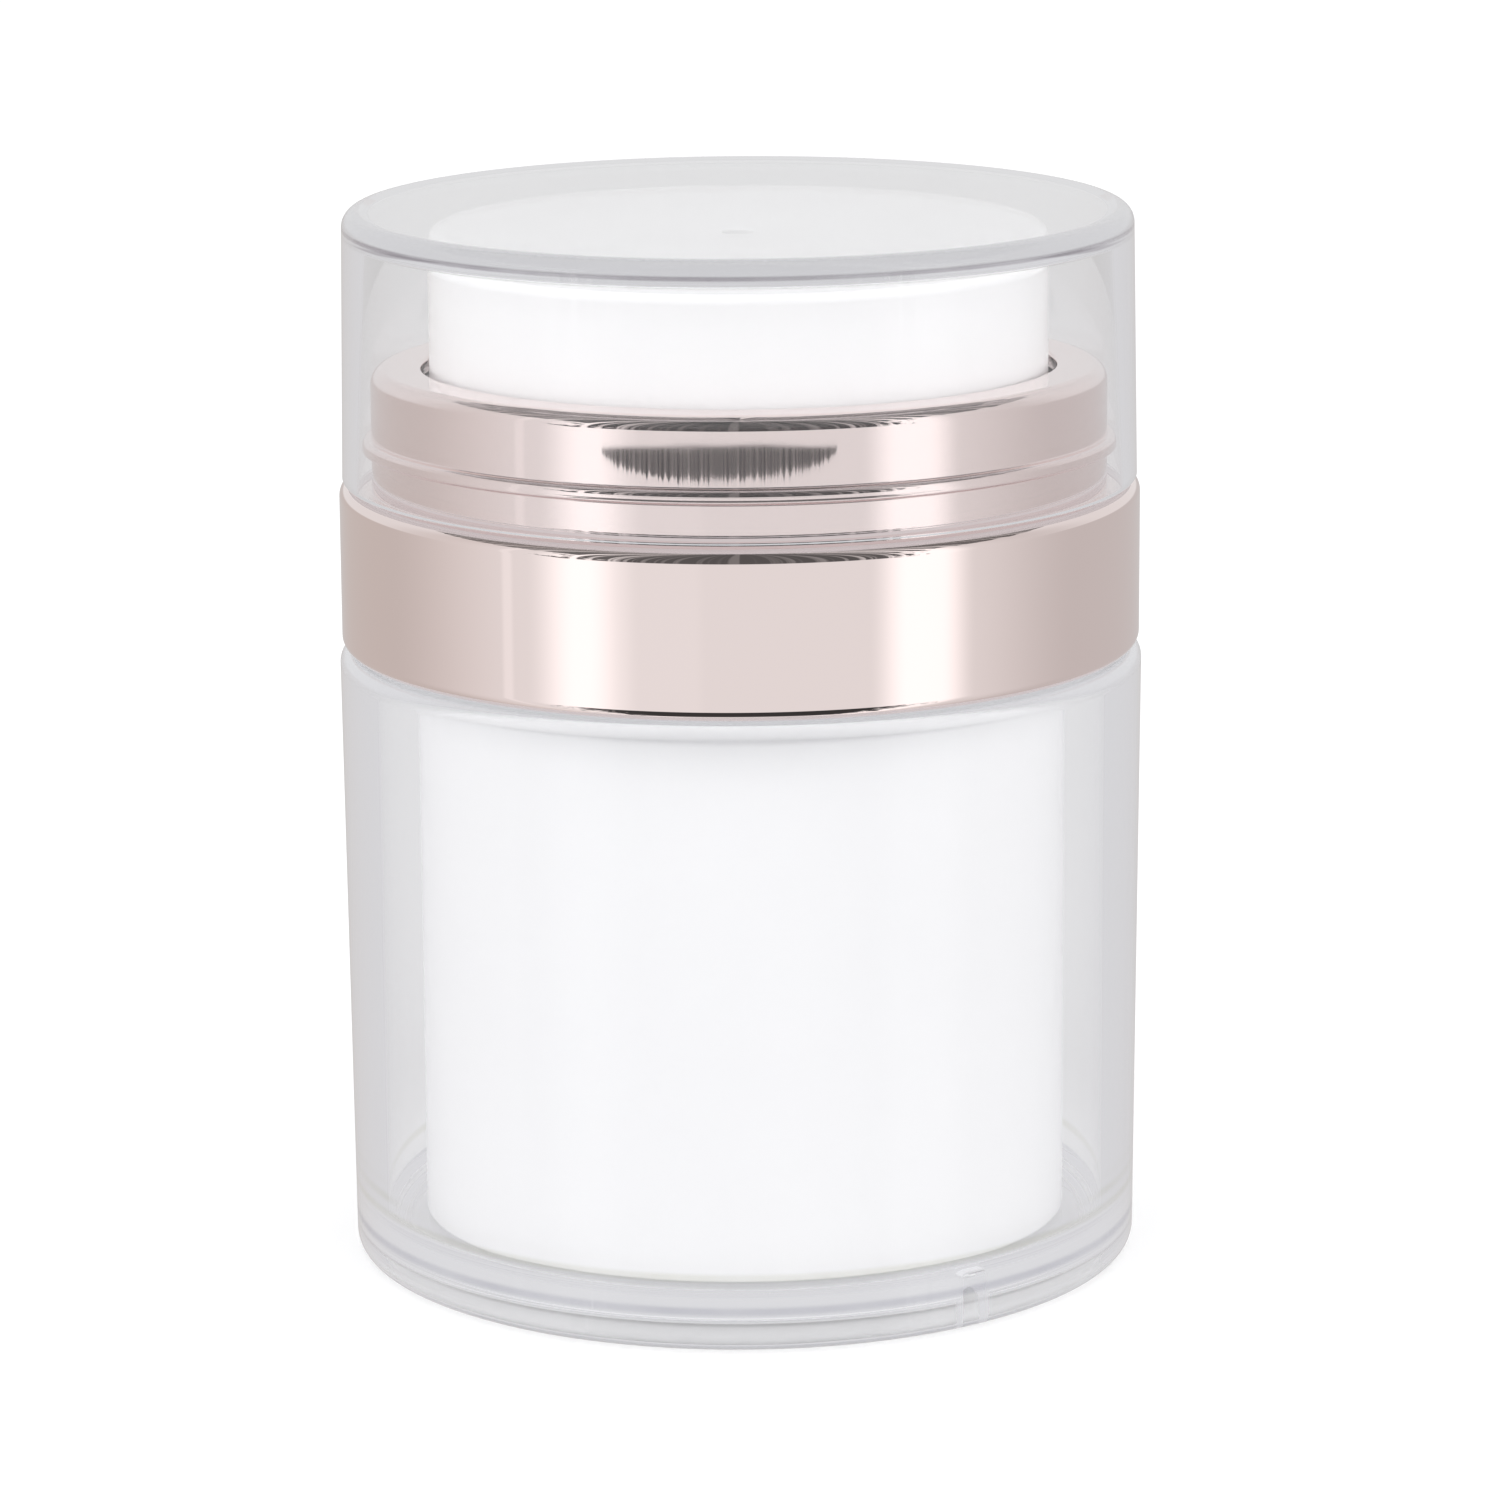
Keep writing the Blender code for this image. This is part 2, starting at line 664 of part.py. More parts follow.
def make_press_head(parts):
    """White press head: dished top, outlet, stem socket, spring rib and a catch at its foot."""
    dish_height = head_top - HEAD_DISH_DEPTH
    boss_radius = stem_fit + BOSS_WALL
    rib_bore = spring_radius + SPRING_WIRE_RADIUS + SPRING_CLEARANCE
    rib_radius = rib_bore + SPRING_RIB_WIDTH
    rib_base = head_ceiling - SPRING_RIB_HEIGHT
    corners = [
        (head_radius, head_top, HEAD_EDGE_ROUNDING),
        (head_radius, catch_top, 0),
        (catch_radius, catch_top, 0),
        (catch_radius, catch_base, 0),
        (head_bore, catch_base, 0),
        (head_bore, head_ceiling, HEAD_EDGE_ROUNDING),
        (rib_radius, head_ceiling, 0),
        (rib_radius, rib_base, 0),
        (rib_bore, rib_base, 0),
        (rib_bore, head_ceiling, 0),
        (boss_radius, head_ceiling, 0),
        (boss_radius, boss_base, 0),
        (stem_fit, boss_base, 0),
        (stem_fit, boss_ceiling, 0),
        (ORIFICE_RADIUS, boss_ceiling, 0),
        (ORIFICE_RADIUS, dish_height, 0),
        (ORIFICE_RADIUS + HEAD_DISH_FLAT, dish_height, 0),
        (head_radius - HEAD_DISH_RIM, head_top, 0),
    ]
    return turned("press_head", corners, catch_base, parts, white_plastic("white_head"))


def make_return_spring(parts):
    """Coil spring around the cylinder, from the pump's plate to the underside of the head."""
    first = plate_top + GAP + SPRING_WIRE_RADIUS
    last = head_ceiling - GAP - SPRING_WIRE_RADIUS
    count = SPRING_TURNS * SPRING_POINTS_PER_TURN
    points = []
    for index in range(count + 1):
        share = index / count
        angle = math.tau * SPRING_TURNS * share
        height = first + (last - first) * share
        side = (spring_radius * math.cos(angle), spring_radius * math.sin(angle))
        points.append(Vector((*side, height)))
    base = first - SPRING_WIRE_RADIUS
    curve = bpy.data.curves.new("return_spring", "CURVE")
    curve.dimensions = "3D"
    curve.bevel_depth = SPRING_WIRE_RADIUS
    curve.bevel_resolution = SPRING_BEVEL_STEPS
    curve.use_fill_caps = True
    line = curve.splines.new("POLY")
    line.points.add(count)
    for place, point in zip(line.points, points):
        place.co = (point.x, point.y, point.z - base, 1)
    line.use_smooth = True
    curve.materials.append(spring_steel("spring_wire"))
    spring = bpy.data.objects.new("return_spring", curve)
    parts.objects.link(spring)
    spring.location.z = base
    report_spring_gap(points)
    return spring


def report_spring_gap(points):
    """Prints the least clear distance between one curl and the next."""
    half_turn = SPRING_POINTS_PER_TURN // 2
    nearest = min(
        (points[later] - points[earlier]).length
        for earlier in range(len(points))
        for later in range(earlier + half_turn, len(points))
    )
    gap = nearest - SPRING_WIRE_RADIUS * 2
    print(f"return_spring: least gap to itself {gap / MM:.2f} mm")


def make_closure_ring(parts, cutters):
    """White threaded ring that pulls the pump's flange down onto the neck."""
    skirt_base = flange_top + GAP
    bore_top = neck_top - GAP
    lip_bore = cup_bore + PUMP_FLANGE_REACH - CLOSURE_LIP_REACH
    corners = [
        (closure_neck_radius, lip_top, GAP),
        (closure_neck_radius, closure_shoulder, 0),
        (closure_radius, closure_shoulder, 0),
        (closure_radius, skirt_base, 0),
        (closure_bore, skirt_base, 0),
        (closure_bore, bore_top, 0),
        (closure_neck_bore, bore_top, 0),
        (closure_neck_bore, lip_base, 0),
        (lip_bore, lip_base, 0),
        (lip_bore, lip_top, 0),
    ]
    ring = turned("closure_ring", corners, skirt_base, parts, white_plastic("white_closure"))
    ridge = thread_helper(
        "closure_thread",
        closure_bore + OVERLAP,
        neck_radius + GAP,
        math.pi,
        RING_THREAD_TURNS,
        cutters,
    )
    add_boolean(ring, ridge, "UNION")
    return ring


def make_collar_shell(parts):
    """Plated collar in one piece: a wide band below and a narrower beaded ring above."""
    corners = [
        (ring_radius, ring_top, RING_EDGE_ROUNDING),
        (ring_radius, bead_top + BEAD_ROUNDING, 0),
        (bead_radius, bead_top, BEAD_ROUNDING),
        (bead_radius, bead_base, BEAD_ROUNDING),
        (ring_radius, bead_base - BEAD_ROUNDING, 0),
        (ring_radius, band_top, 0),
        (band_radius, band_top, BAND_TOP_ROUNDING),
        (band_radius, flange_base, BAND_FOOT_ROUNDING),
        (band_bore, flange_base, 0),
        (band_bore, band_top - SHELL_WALL, 0),
        (ring_bore, band_top - SHELL_WALL, 0),
        (ring_bore, ring_ceiling, 0),
        (ring_hole, ring_ceiling, 0),
        (ring_hole, ring_top, GAP),
    ]
    return turned("collar_shell", corners, flange_base, parts, rose_metal("rose_plating"))


def make_overcap(parts):
    """Clear overcap with a thick flat top and a drafted inside that passes the bead."""
    mouth_radius = cap_radius + CAP_DRAFT
    corners = [
        (cap_radius, cap_top, CAP_EDGE_ROUNDING),
        (mouth_radius, cap_base, GAP),
        (cap_mouth, cap_base, 0),
        (cap_bore, cap_ceiling, CAP_INNER_ROUNDING),
        (0, cap_ceiling, 0),
    ]
    outline = [(0, cap_top, 0)] + corners
    return turned("overcap", outline, cap_base, parts, clear_acrylic("clear_acrylic_cap"))


def add_frame(name, group, carrier=None):
    """An empty on the joint axis, which carries the pieces that move together."""
    frame = bpy.data.objects.new(name, None)
    frame.empty_display_size = JAR_RADIUS
    group.objects.link(frame)
    frame.parent = carrier
    return frame


def carry(frame, *pieces):
    """Parents pieces to the frame that moves them."""
    for piece in pieces:
        piece.parent = frame


def main():
    """Builds every piece and hangs it on the frame it moves with."""
    clear_scene()
    parts = new_collection("airless_cream_jar")
    cutters = new_collection("cutters")

    jar_frame = add_frame("jar_frame", parts)
    follower_frame = add_frame("follower_frame", parts, jar_frame)
    pump_frame = add_frame("pump_frame", parts, jar_frame)
    valve_frame = add_frame("valve_frame", parts, pump_frame)
    collar_frame = add_frame("collar_frame", parts, pump_frame)
    cap_frame = add_frame("cap_frame", parts, collar_frame)
    head_frame = add_frame("head_frame", parts, pump_frame)
    piston_frame = add_frame("piston_frame", parts, head_frame)

    carry(jar_frame, make_outer_jar(parts, cutters), make_inner_cup(parts, cutters))
    carry(follower_frame, make_follower_piston(parts))
    carry(pump_frame, make_neck_gasket(parts), make_pump_body(parts), make_cylinder_cap(parts))
    carry(pump_frame, make_valve_retainer(parts, cutters), make_return_spring(parts))
    carry(valve_frame, make_inlet_valve(parts))
    carry(collar_frame, make_closure_ring(parts, cutters), make_collar_shell(parts))
    carry(cap_frame, make_overcap(parts))
    carry(head_frame, make_press_head(parts), make_pump_stem(parts, cutters))
    carry(head_frame, make_piston_seat(parts))
    carry(piston_frame, make_stem_piston(parts))


main()
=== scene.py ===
"""Looks of the airless cream jar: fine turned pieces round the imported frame, their materials,
a pale studio and the photograph's camera. Lengths are metres, +Z up, and -Y is the front."""

import math

import bmesh
import bpy
from mathutils import Matrix, Vector


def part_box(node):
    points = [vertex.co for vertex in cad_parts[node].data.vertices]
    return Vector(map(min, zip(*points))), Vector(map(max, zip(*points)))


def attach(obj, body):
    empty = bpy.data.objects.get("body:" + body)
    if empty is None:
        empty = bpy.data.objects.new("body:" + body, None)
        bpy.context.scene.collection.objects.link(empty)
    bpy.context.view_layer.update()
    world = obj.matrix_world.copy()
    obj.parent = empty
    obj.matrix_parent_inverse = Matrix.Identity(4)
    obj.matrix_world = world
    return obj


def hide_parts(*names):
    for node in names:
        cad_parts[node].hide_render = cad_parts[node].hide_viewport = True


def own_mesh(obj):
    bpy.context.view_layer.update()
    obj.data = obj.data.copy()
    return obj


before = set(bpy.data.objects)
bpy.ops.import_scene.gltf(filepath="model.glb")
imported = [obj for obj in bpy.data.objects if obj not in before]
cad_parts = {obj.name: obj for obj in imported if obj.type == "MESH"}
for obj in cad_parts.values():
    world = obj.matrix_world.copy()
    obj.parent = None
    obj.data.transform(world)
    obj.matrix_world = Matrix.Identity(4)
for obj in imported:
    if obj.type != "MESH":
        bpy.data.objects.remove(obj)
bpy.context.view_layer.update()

MM = 0.001

# Fineness of the round pieces, as counts
AROUND = 192
AROUND_MIRROR = 288
AROUND_THREAD = 96
SPRING_POINTS_PER_TURN = 32
SPRING_BEVEL_STEPS = 3
AIR_NOTCH_BEVEL_STEPS = 6
ARC_POINT_SPACING = 0.12 * MM
LEAST_ARC_STEPS = 4
SHARP_ANGLE = math.radians(28)
WELD = 0.0001 * MM

# Outer jar
JAR_RADIUS = 31.2 * MM
JAR_BORE = 28.3 * MM
JAR_HEIGHT = 48.1 * MM
JAR_FLOOR = 1.2 * MM
JAR_FLOOR_ROUNDING = 2.0 * MM
FOOT_DEPTH = 2.2 * MM
FOOT_DEPTH_ROUNDING = 0.8 * MM
FOOT_ROUNDING = 1.3 * MM
FOOT_INNER_ROUNDING = 0.3 * MM
JAR_DRAFT = 0.4 * MM
RIM_ROUNDING = 1.0 * MM
EDGE_ROUNDING = 0.12 * MM
AIR_NOTCH_WIDTH = 2.5 * MM
AIR_NOTCH_REACH = 1.6 * MM
AIR_NOTCH_DEPTH = 1.4 * MM
AIR_NOTCH_HEIGHT = 4.4 * MM
AIR_NOTCH_ANGLE = math.radians(-54.3)
AIR_NOTCH_ROUNDING = 0.6 * MM
CUT_OVERRUN = 1 * MM

# Inner cup and its thread
AIR_SPACE = 3.1 * MM
CUP_WALL = 1.2 * MM
CUP_FLOOR = 1.2 * MM
CUP_CORNER = 0.4 * MM
CUP_VENT_RADIUS = 1.5 * MM
CUP_PLUG_HEIGHT = 1.2 * MM
CUP_PLUG_GAP = 0.4 * MM
CUP_FLARE_HEIGHT = 1.4 * MM
CUP_FLARE_ROUNDING = 0.5 * MM
FLANGE_THICKNESS = 1.2 * MM
FLANGE_RADIUS = 29.5 * MM
NECK_WALL = 1.6 * MM
NECK_HEIGHT = 8.9 * MM
THREAD_DEPTH = 1.0 * MM
THREAD_PITCH = 4.0 * MM
THREAD_ROOT_WIDTH = 1.6 * MM
THREAD_CREST_WIDTH = 0.8 * MM
THREAD_START = 1.6 * MM
THREAD_TURNS = 1.25
THREAD_OVERLAP = 0.3 * MM

# Collar shell
SHELL_WALL = 1.2 * MM
RING_RADIUS = 28.3 * MM
RING_HOLE = 24.4 * MM
RING_EDGE_ROUNDING = 1.1 * MM
RING_HOLE_ROUNDING = 0.3 * MM
BAND_RADIUS = 31.0 * MM
BAND_HEIGHT = 12.8 * MM
BAND_TOP_ROUNDING = 1.0 * MM
BAND_FOOT_ROUNDING = 0.9 * MM
BEAD_RISE = 3.0 * MM
BEAD_HEIGHT = 1.2 * MM
BEAD_PROUD = 0.7 * MM
BEAD_ROUNDING = 0.45 * MM
BEAD_FILLET = 0.1 * MM

# Press head
HEAD_RADIUS = 23.8 * MM
HEAD_CATCH_RADIUS = 25.5 * MM
HEAD_CATCH_HEIGHT = 1.0 * MM
HEAD_WALL = 1.3 * MM
HEAD_TOP = 1.3 * MM
HEAD_EDGE_ROUNDING = 0.8 * MM
HEAD_DISH_DEPTH = 0.6 * MM
HEAD_DISH_RIM = 3.0 * MM
HEAD_DISH_FLAT = 1.5 * MM
ORIFICE_RADIUS = 1.2 * MM
STEM_FIT = 3.1 * MM
BOSS_WALL = 1.6 * MM
BOSS_CEILING = 0.8 * MM
BOSS_BASE = 72.9 * MM
SPRING_RIB_BORE = 9.2 * MM
SPRING_RIB_WIDTH = 0.8 * MM
SPRING_RIB_HEIGHT = 1.5 * MM

# Return spring
SPRING_WIRE_RADIUS = 0.45 * MM
SPRING_RADIUS = 8.3 * MM
SPRING_TURNS = 8

# Overcap
CAP_WALL = 1.8 * MM
CAP_BORE = 28.6 * MM
CAP_MOUTH = 29.5 * MM
CAP_DRAFT = 0.35 * MM
CAP_TOP = 2.0 * MM
CAP_EDGE_ROUNDING = 1.3 * MM
CAP_INNER_ROUNDING = 0.3 * MM

# Plastics. The clear pieces have a softer upper edge, from a least radius and height
PLASTIC_IOR = 1.49
JAR_EDGE = (29.6 * MM, 46.6 * MM)
CAP_EDGE = (28.8 * MM, 80.9 * MM)
EDGE_FADE = 0.4 * MM
EDGE_SOFTNESS = 0.2

# Painted shade lines in the clear walls, darker or tinted bands that stand in for the shade that
# refraction shows: least and greatest height, softness, tint
JAR_PAINTED_SHADE_LINES = [
    (5.6 * MM, 6.2 * MM, 0.2 * MM, (0.8, 0.8, 0.72)),
    (3.0 * MM, 3.6 * MM, 0.2 * MM, (0.57, 0.57, 0.63)),
    (2.2 * MM, 2.4 * MM, 0.15 * MM, (0.66, 0.64, 0.65)),
    (0.35 * MM, 0.65 * MM, 0.15 * MM, (0.74, 0.74, 0.77)),
]
# The cap's painted shade line: a dark band where its top edge rounding meets the wall
CAP_PAINTED_SHADE_LINES = [(80.84 * MM, 81.18 * MM, 0.08 * MM, (0.34, 0.31, 0.34))]

# Rays in clear walls: those that turn more often, or turn and cross more often, end in the
# even glow of the jar or cap, and those that leave after a turn find the edge glow outside
EDGE_TURNS = 3
JAR_CROSSINGS = 2
CAP_CROSSINGS = 9
JAR_GLOW = 0.74
CAP_GLOW = 0.66
EDGE_GLOW = 0.71
EDGE_TINT = (0.97, 0.97, 1.0)

# Bounces that Cycles follows, in clear walls and in all
WALL_BOUNCES = 24
ALL_BOUNCES = 32

# Camera, worked out from the ellipses of the photograph
CAMERA_PLACE = (0.66 * MM, -457.3 * MM, 144.3 * MM)
CAMERA_TILT = math.radians(12.929)
CAMERA_ROLL = math.radians(-0.395)
CAMERA_SENSOR = 36 * MM
CAMERA_FOCAL_PIXELS = 5987.2
CAMERA_CLIP_START = 10 * MM
PICTURE_PIXELS = 1500

# Light. The second level is for pieces behind clear walls and makes up for what the walls cost
AMBIENT = 0.88
AMBIENT_BEHIND_WALLS = 1.72
# Name, side angle and rise in degrees, then distance, width and height in metres, and watts
LAMPS = [
    ("softbox_left", -58, 18, 1.1, 0.5, 0.9, 3.3),
    ("softbox_right", 56, 18, 1.1, 0.5, 0.9, 3.2),
    ("softbox_top", 0, 80, 1.2, 0.9, 0.9, 1.7),
]

# Floor, its glow for the camera, and its glow through clear walls by distance from the axis
FLOOR_SIZE = 6.0
FLOOR_DROP = 0.05 * MM
FLOOR_COLOUR = (0.62, 0.62, 0.625)
FLOOR_CAMERA_LIFT = 0.46
FLOOR_CLEAR_LIFT = 0.14
FLOOR_CLEAR_LIFT_UNDER = 0.1
FLOOR_CLEAR_LIFT_NEAR = 0.12
FLOOR_UNDER = (27 * MM, 30 * MM)
FLOOR_NEAR = (35 * MM, 70 * MM)

# Tent: levels and tints by angle round the jar, in radians from the front, right positive
TENT_RADIUS = 0.9
TENT_HEIGHT = 50 * MM
TENT_SHIFT = 0.06
TENT_DIMS = (0.96, 2.0)
TENT_FRONT = 0.85
TENT_BACK = 0.60
TENT_BACK_ABOVE = 0.82
BACK_STARTS = (0.0, 0.08)
BACK_FADE = (1.4, 2.2)
BACK_TINT = (1, 0.96, 0.95)
BACK_TINT_FADE = (0.9, 1.8)
LEFT_TINT = (1, 0.93, 0.89)
LEFT_TINT_FADE = (-1.2, -2.2)
LEFT_TINT_END = (-3.1, -2.6)
# Softboxes that the plating reflects: side angle, inner and outer half width in degrees, gain
TENT_STRIPS = [
    (-44.8, 1.5, 17.5, 0.42),
    (52.5, 5, 17, 0.42),
    (-68.2, 0.7, 2.5, 0.1),
    (-22, 9, 13, 0.03),
]

# Dark gap between the softboxes. Widths are radians, heights are sines of the elevation
GAP_HALF_WIDTH = 0.8
GAP_TOP_HALF_WIDTH = 3.3
GAP_WIDENS = (0.45, 0.85)
GAP_STARTS = (-0.12, -0.04)
GAP_DARKNESS_BARE = 0.88
GAP_RAGGEDNESS = (-0.3, 0.16)
GAP_SOFTNESS = 0.03
COARSE_GRAIN = 9.0
FINE_GRAIN = 25.0
STREAKS_GRAIN = (14.0, 4.0)
STREAKS_CUT = (0.4, 0.5)
STREAKS_FADE = (0.3, 0.9)
STREAKS_LEAST = 0.85
# Below the horizon and on the floor: start, end and softness, then darkness
LOW_GAP = (-0.92, -0.37, 0.02)
LOW_GAP_DARKNESS = 0.95
FLOOR_GAP = (90 * MM, 240 * MM, 10 * MM)
FLOOR_GAP_DARKNESS = 0.9
# Dark arch on the floor, seen in the upper ring: distance, depth, angles and streaks
PATCH_END = 516 * MM
PATCH_DEPTH = 37 * MM
PATCH_OUTER_FADE = 0.5 * MM
PATCH_INNER_FADE = 1.5 * MM
PATCH_CENTRE = -0.105
PATCH_HALF_WIDTH = 0.61
PATCH_GRAIN = (60.0, 3.0)
PATCH_RAGGEDNESS = (0.8, 1.1)
PATCH_CORNERS = (0.02, 0.1)
PATCH_DARKNESS = (0.84, 1.0)


def new_shader(name):
    """A material with its Principled shader and its node tree."""
    material = bpy.data.materials.new(name)
    material.use_nodes = True
    tree = material.node_tree
    return material, tree, tree.nodes["Principled BSDF"]


def add_node(tree, kind, links=(), **values):
    """A node with its properties set, and sockets linked or set from (input, source) pairs."""
    node = tree.nodes.new(kind)
    for name, value in values.items():
        setattr(node, name, value)
    for name, source in links:
        if isinstance(source, bpy.types.NodeSocket):
            tree.links.new(source, node.inputs[name])
        else:
            node.inputs[name].default_value = source
    return node


def maths(tree, operation, first, second=0.0):
    """The output of a Math node."""
    node = add_node(tree, "ShaderNodeMath", [(0, first), (1, second)], operation=operation)
    return node.outputs[0]


def ranged(tree, source, low, high, to_low, to_high, smooth=False):
    """The output of a clamped Map Range node."""
    links = [("Value", source), (1, low), (2, high), (3, to_low), (4, to_high)]
    kind = "SMOOTHSTEP" if smooth else "LINEAR"
    return add_node(tree, "ShaderNodeMapRange", links, interpolation_type=kind).outputs[0]


def product(tree, *factors):
    """The product of two or more values."""
    total = factors[0]
    for factor in factors[1:]:
        total = maths(tree, "MULTIPLY", total, factor)
    return total


def at_least(tree, depth, count):
    """1 where a ray's depth has reached a count."""
    return maths(tree, "GREATER_THAN", depth, count - 0.5)


def noise(tree, scale, detail):
    """Noise in the piece's own coordinates, which move with the piece."""
    point = add_node(tree, "ShaderNodeTexCoord").outputs["Object"]
    links = [("Vector", point), ("Scale", scale), ("Detail", detail)]
    return add_node(tree, "ShaderNodeTexNoise", links).outputs["Fac"]


def blended(tree, factor, first, second):
    """The output of a colour mix."""
    node = tree.nodes.new("ShaderNodeMix")
    node.data_type = "RGBA"
    tree.links.new(factor, node.inputs["Factor"])
    for socket, colour in ((node.inputs[6], first), (node.inputs[7], second)):
        if isinstance(colour, bpy.types.NodeSocket):
            tree.links.new(colour, socket)
        else:
            socket.default_value = (*colour, 1)
    return node.outputs[2]


def bump(tree, shader, height, strength, distance):
    """A bump on a shader's normal."""
    links = [("Height", height), ("Strength", strength), ("Distance", distance)]
    node = add_node(tree, "ShaderNodeBump", links)
    tree.links.new(node.outputs[0], shader.inputs["Normal"])


def mix_in(tree, shader, factor, glow, colour):
    """A shader that is replaced with a plain glow where the factor is 1."""
    emission = add_node(tree, "ShaderNodeEmission", [("Strength", glow)])
    if isinstance(colour, bpy.types.NodeSocket):
        tree.links.new(colour, emission.inputs["Color"])
    else:
        emission.inputs["Color"].default_value = (*colour, 1)
    mix = add_node(tree, "ShaderNodeMixShader", [(0, factor)])
    tree.links.new(shader, mix.inputs[1])
    tree.links.new(emission.outputs[0], mix.inputs[2])
    return mix.outputs[0]


def speckled_plastic(name, light, dark, low_rough, high_rough, grain, depth):
    """A moulded plastic and its shader: faint mottling, uneven gloss and fine grain."""
    material, tree, shader = new_shader(name)
    mottle = noise(tree, 55, 3)
    tree.links.new(blended(tree, mottle, dark, light), shader.inputs["Base Color"])
    gloss = noise(tree, 180, 4)
    tree.links.new(ranged(tree, gloss, 0.3, 0.7, low_rough, high_rough), shader.inputs["Roughness"])
    bump(tree, shader, noise(tree, grain, 3), 0.25, depth)
    return material, shader


def white_plastic():
    """Glossy white polypropylene of the cup, the press head and the closure."""
    light, dark = (0.945, 0.945, 0.95), (0.925, 0.925, 0.93)
    material, shader = speckled_plastic("white_gloss", light, dark, 0.22, 0.27, 900, 0.01 * MM)
    shader.inputs["IOR"].default_value = PLASTIC_IOR
    return material


def milky_plastic():
    """Unpigmented polyethylene of the pump, which lets some light in."""
    light, dark = (0.86, 0.87, 0.87), (0.81, 0.825, 0.83)
    material, shader = speckled_plastic("milky", light, dark, 0.36, 0.5, 700, 0.015 * MM)
    shader.inputs["Subsurface Weight"].default_value = 0.25
    shader.inputs["Subsurface Scale"].default_value = 1.5 * MM
    return material


def silicone():
    """Pale silicone with a soft sheen."""
    light, dark = (0.84, 0.84, 0.81), (0.79, 0.79, 0.77)
    material, shader = speckled_plastic("silicone", light, dark, 0.5, 0.65, 1200, 0.01 * MM)
    shader.inputs["Subsurface Weight"].default_value = 0.3
    shader.inputs["Subsurface Scale"].default_value = 1.0 * MM
    return material


def foam():
    """Pressed white foam with open cells."""
    light, dark = (0.92, 0.92, 0.9), (0.8, 0.8, 0.78)
    material, shader = speckled_plastic("foam", light, dark, 0.75, 0.9, 2600, 0.08 * MM)
    return material


def drawn_wire():
    """Drawn stainless wire with a fine grain."""
    light, dark = (0.66, 0.66, 0.67), (0.54, 0.54, 0.56)
    material, shader = speckled_plastic("drawn_wire", light, dark, 0.22, 0.38, 1500, 0.01 * MM)
    shader.inputs["Metallic"].default_value = 1.0
    return material


def rose_plating():
    """Mirror-bright rose metal plating on pale plastic, bare on faces that look down."""
    material, tree, shader = new_shader("rose_plating")
    mottle = noise(tree, 30, 2)
    colour = blended(tree, mottle, (0.885, 0.77, 0.75), (0.905, 0.795, 0.775))
    facing = add_node(tree, "ShaderNodeNewGeometry").outputs["True Normal"]
    facing = add_node(tree, "ShaderNodeSeparateXYZ", [(0, facing)]).outputs[2]
    plated = ranged(tree, facing, -0.97, -0.9, 0.0, 1.0)
    colour = blended(tree, plated, (0.9, 0.9, 0.93), colour)
    tree.links.new(colour, shader.inputs["Base Color"])
    tree.links.new(plated, shader.inputs["Metallic"])
    gloss = noise(tree, 260, 3)
    tree.links.new(ranged(tree, gloss, 0.3, 0.7, 0.012, 0.024), shader.inputs["Roughness"])
    bump(tree, shader, noise(tree, 120, 1), 0.3, 0.012 * MM)
    return material


def between(tree, value, low, high, soft):
    """1 between two values and 0 outside, with soft ends."""
    above = ranged(tree, value, low - soft, low + soft, 0.0, 1.0, True)
    below = ranged(tree, value, high - soft, high + soft, 1.0, 0.0, True)
    return product(tree, above, below)


def reach_and_height(tree):
    """Distance from the axis and height of the shaded point, in the piece's rest place."""
    point = add_node(tree, "ShaderNodeTexCoord").outputs["Object"]
    parts = add_node(tree, "ShaderNodeSeparateXYZ", [(0, point)]).outputs
    flat = add_node(tree, "ShaderNodeCombineXYZ", [(0, parts[0]), (1, parts[1])]).outputs[0]
    reach = add_node(tree, "ShaderNodeVectorMath", [(0, flat)], operation="LENGTH")
    return reach.outputs["Value"], parts[2]


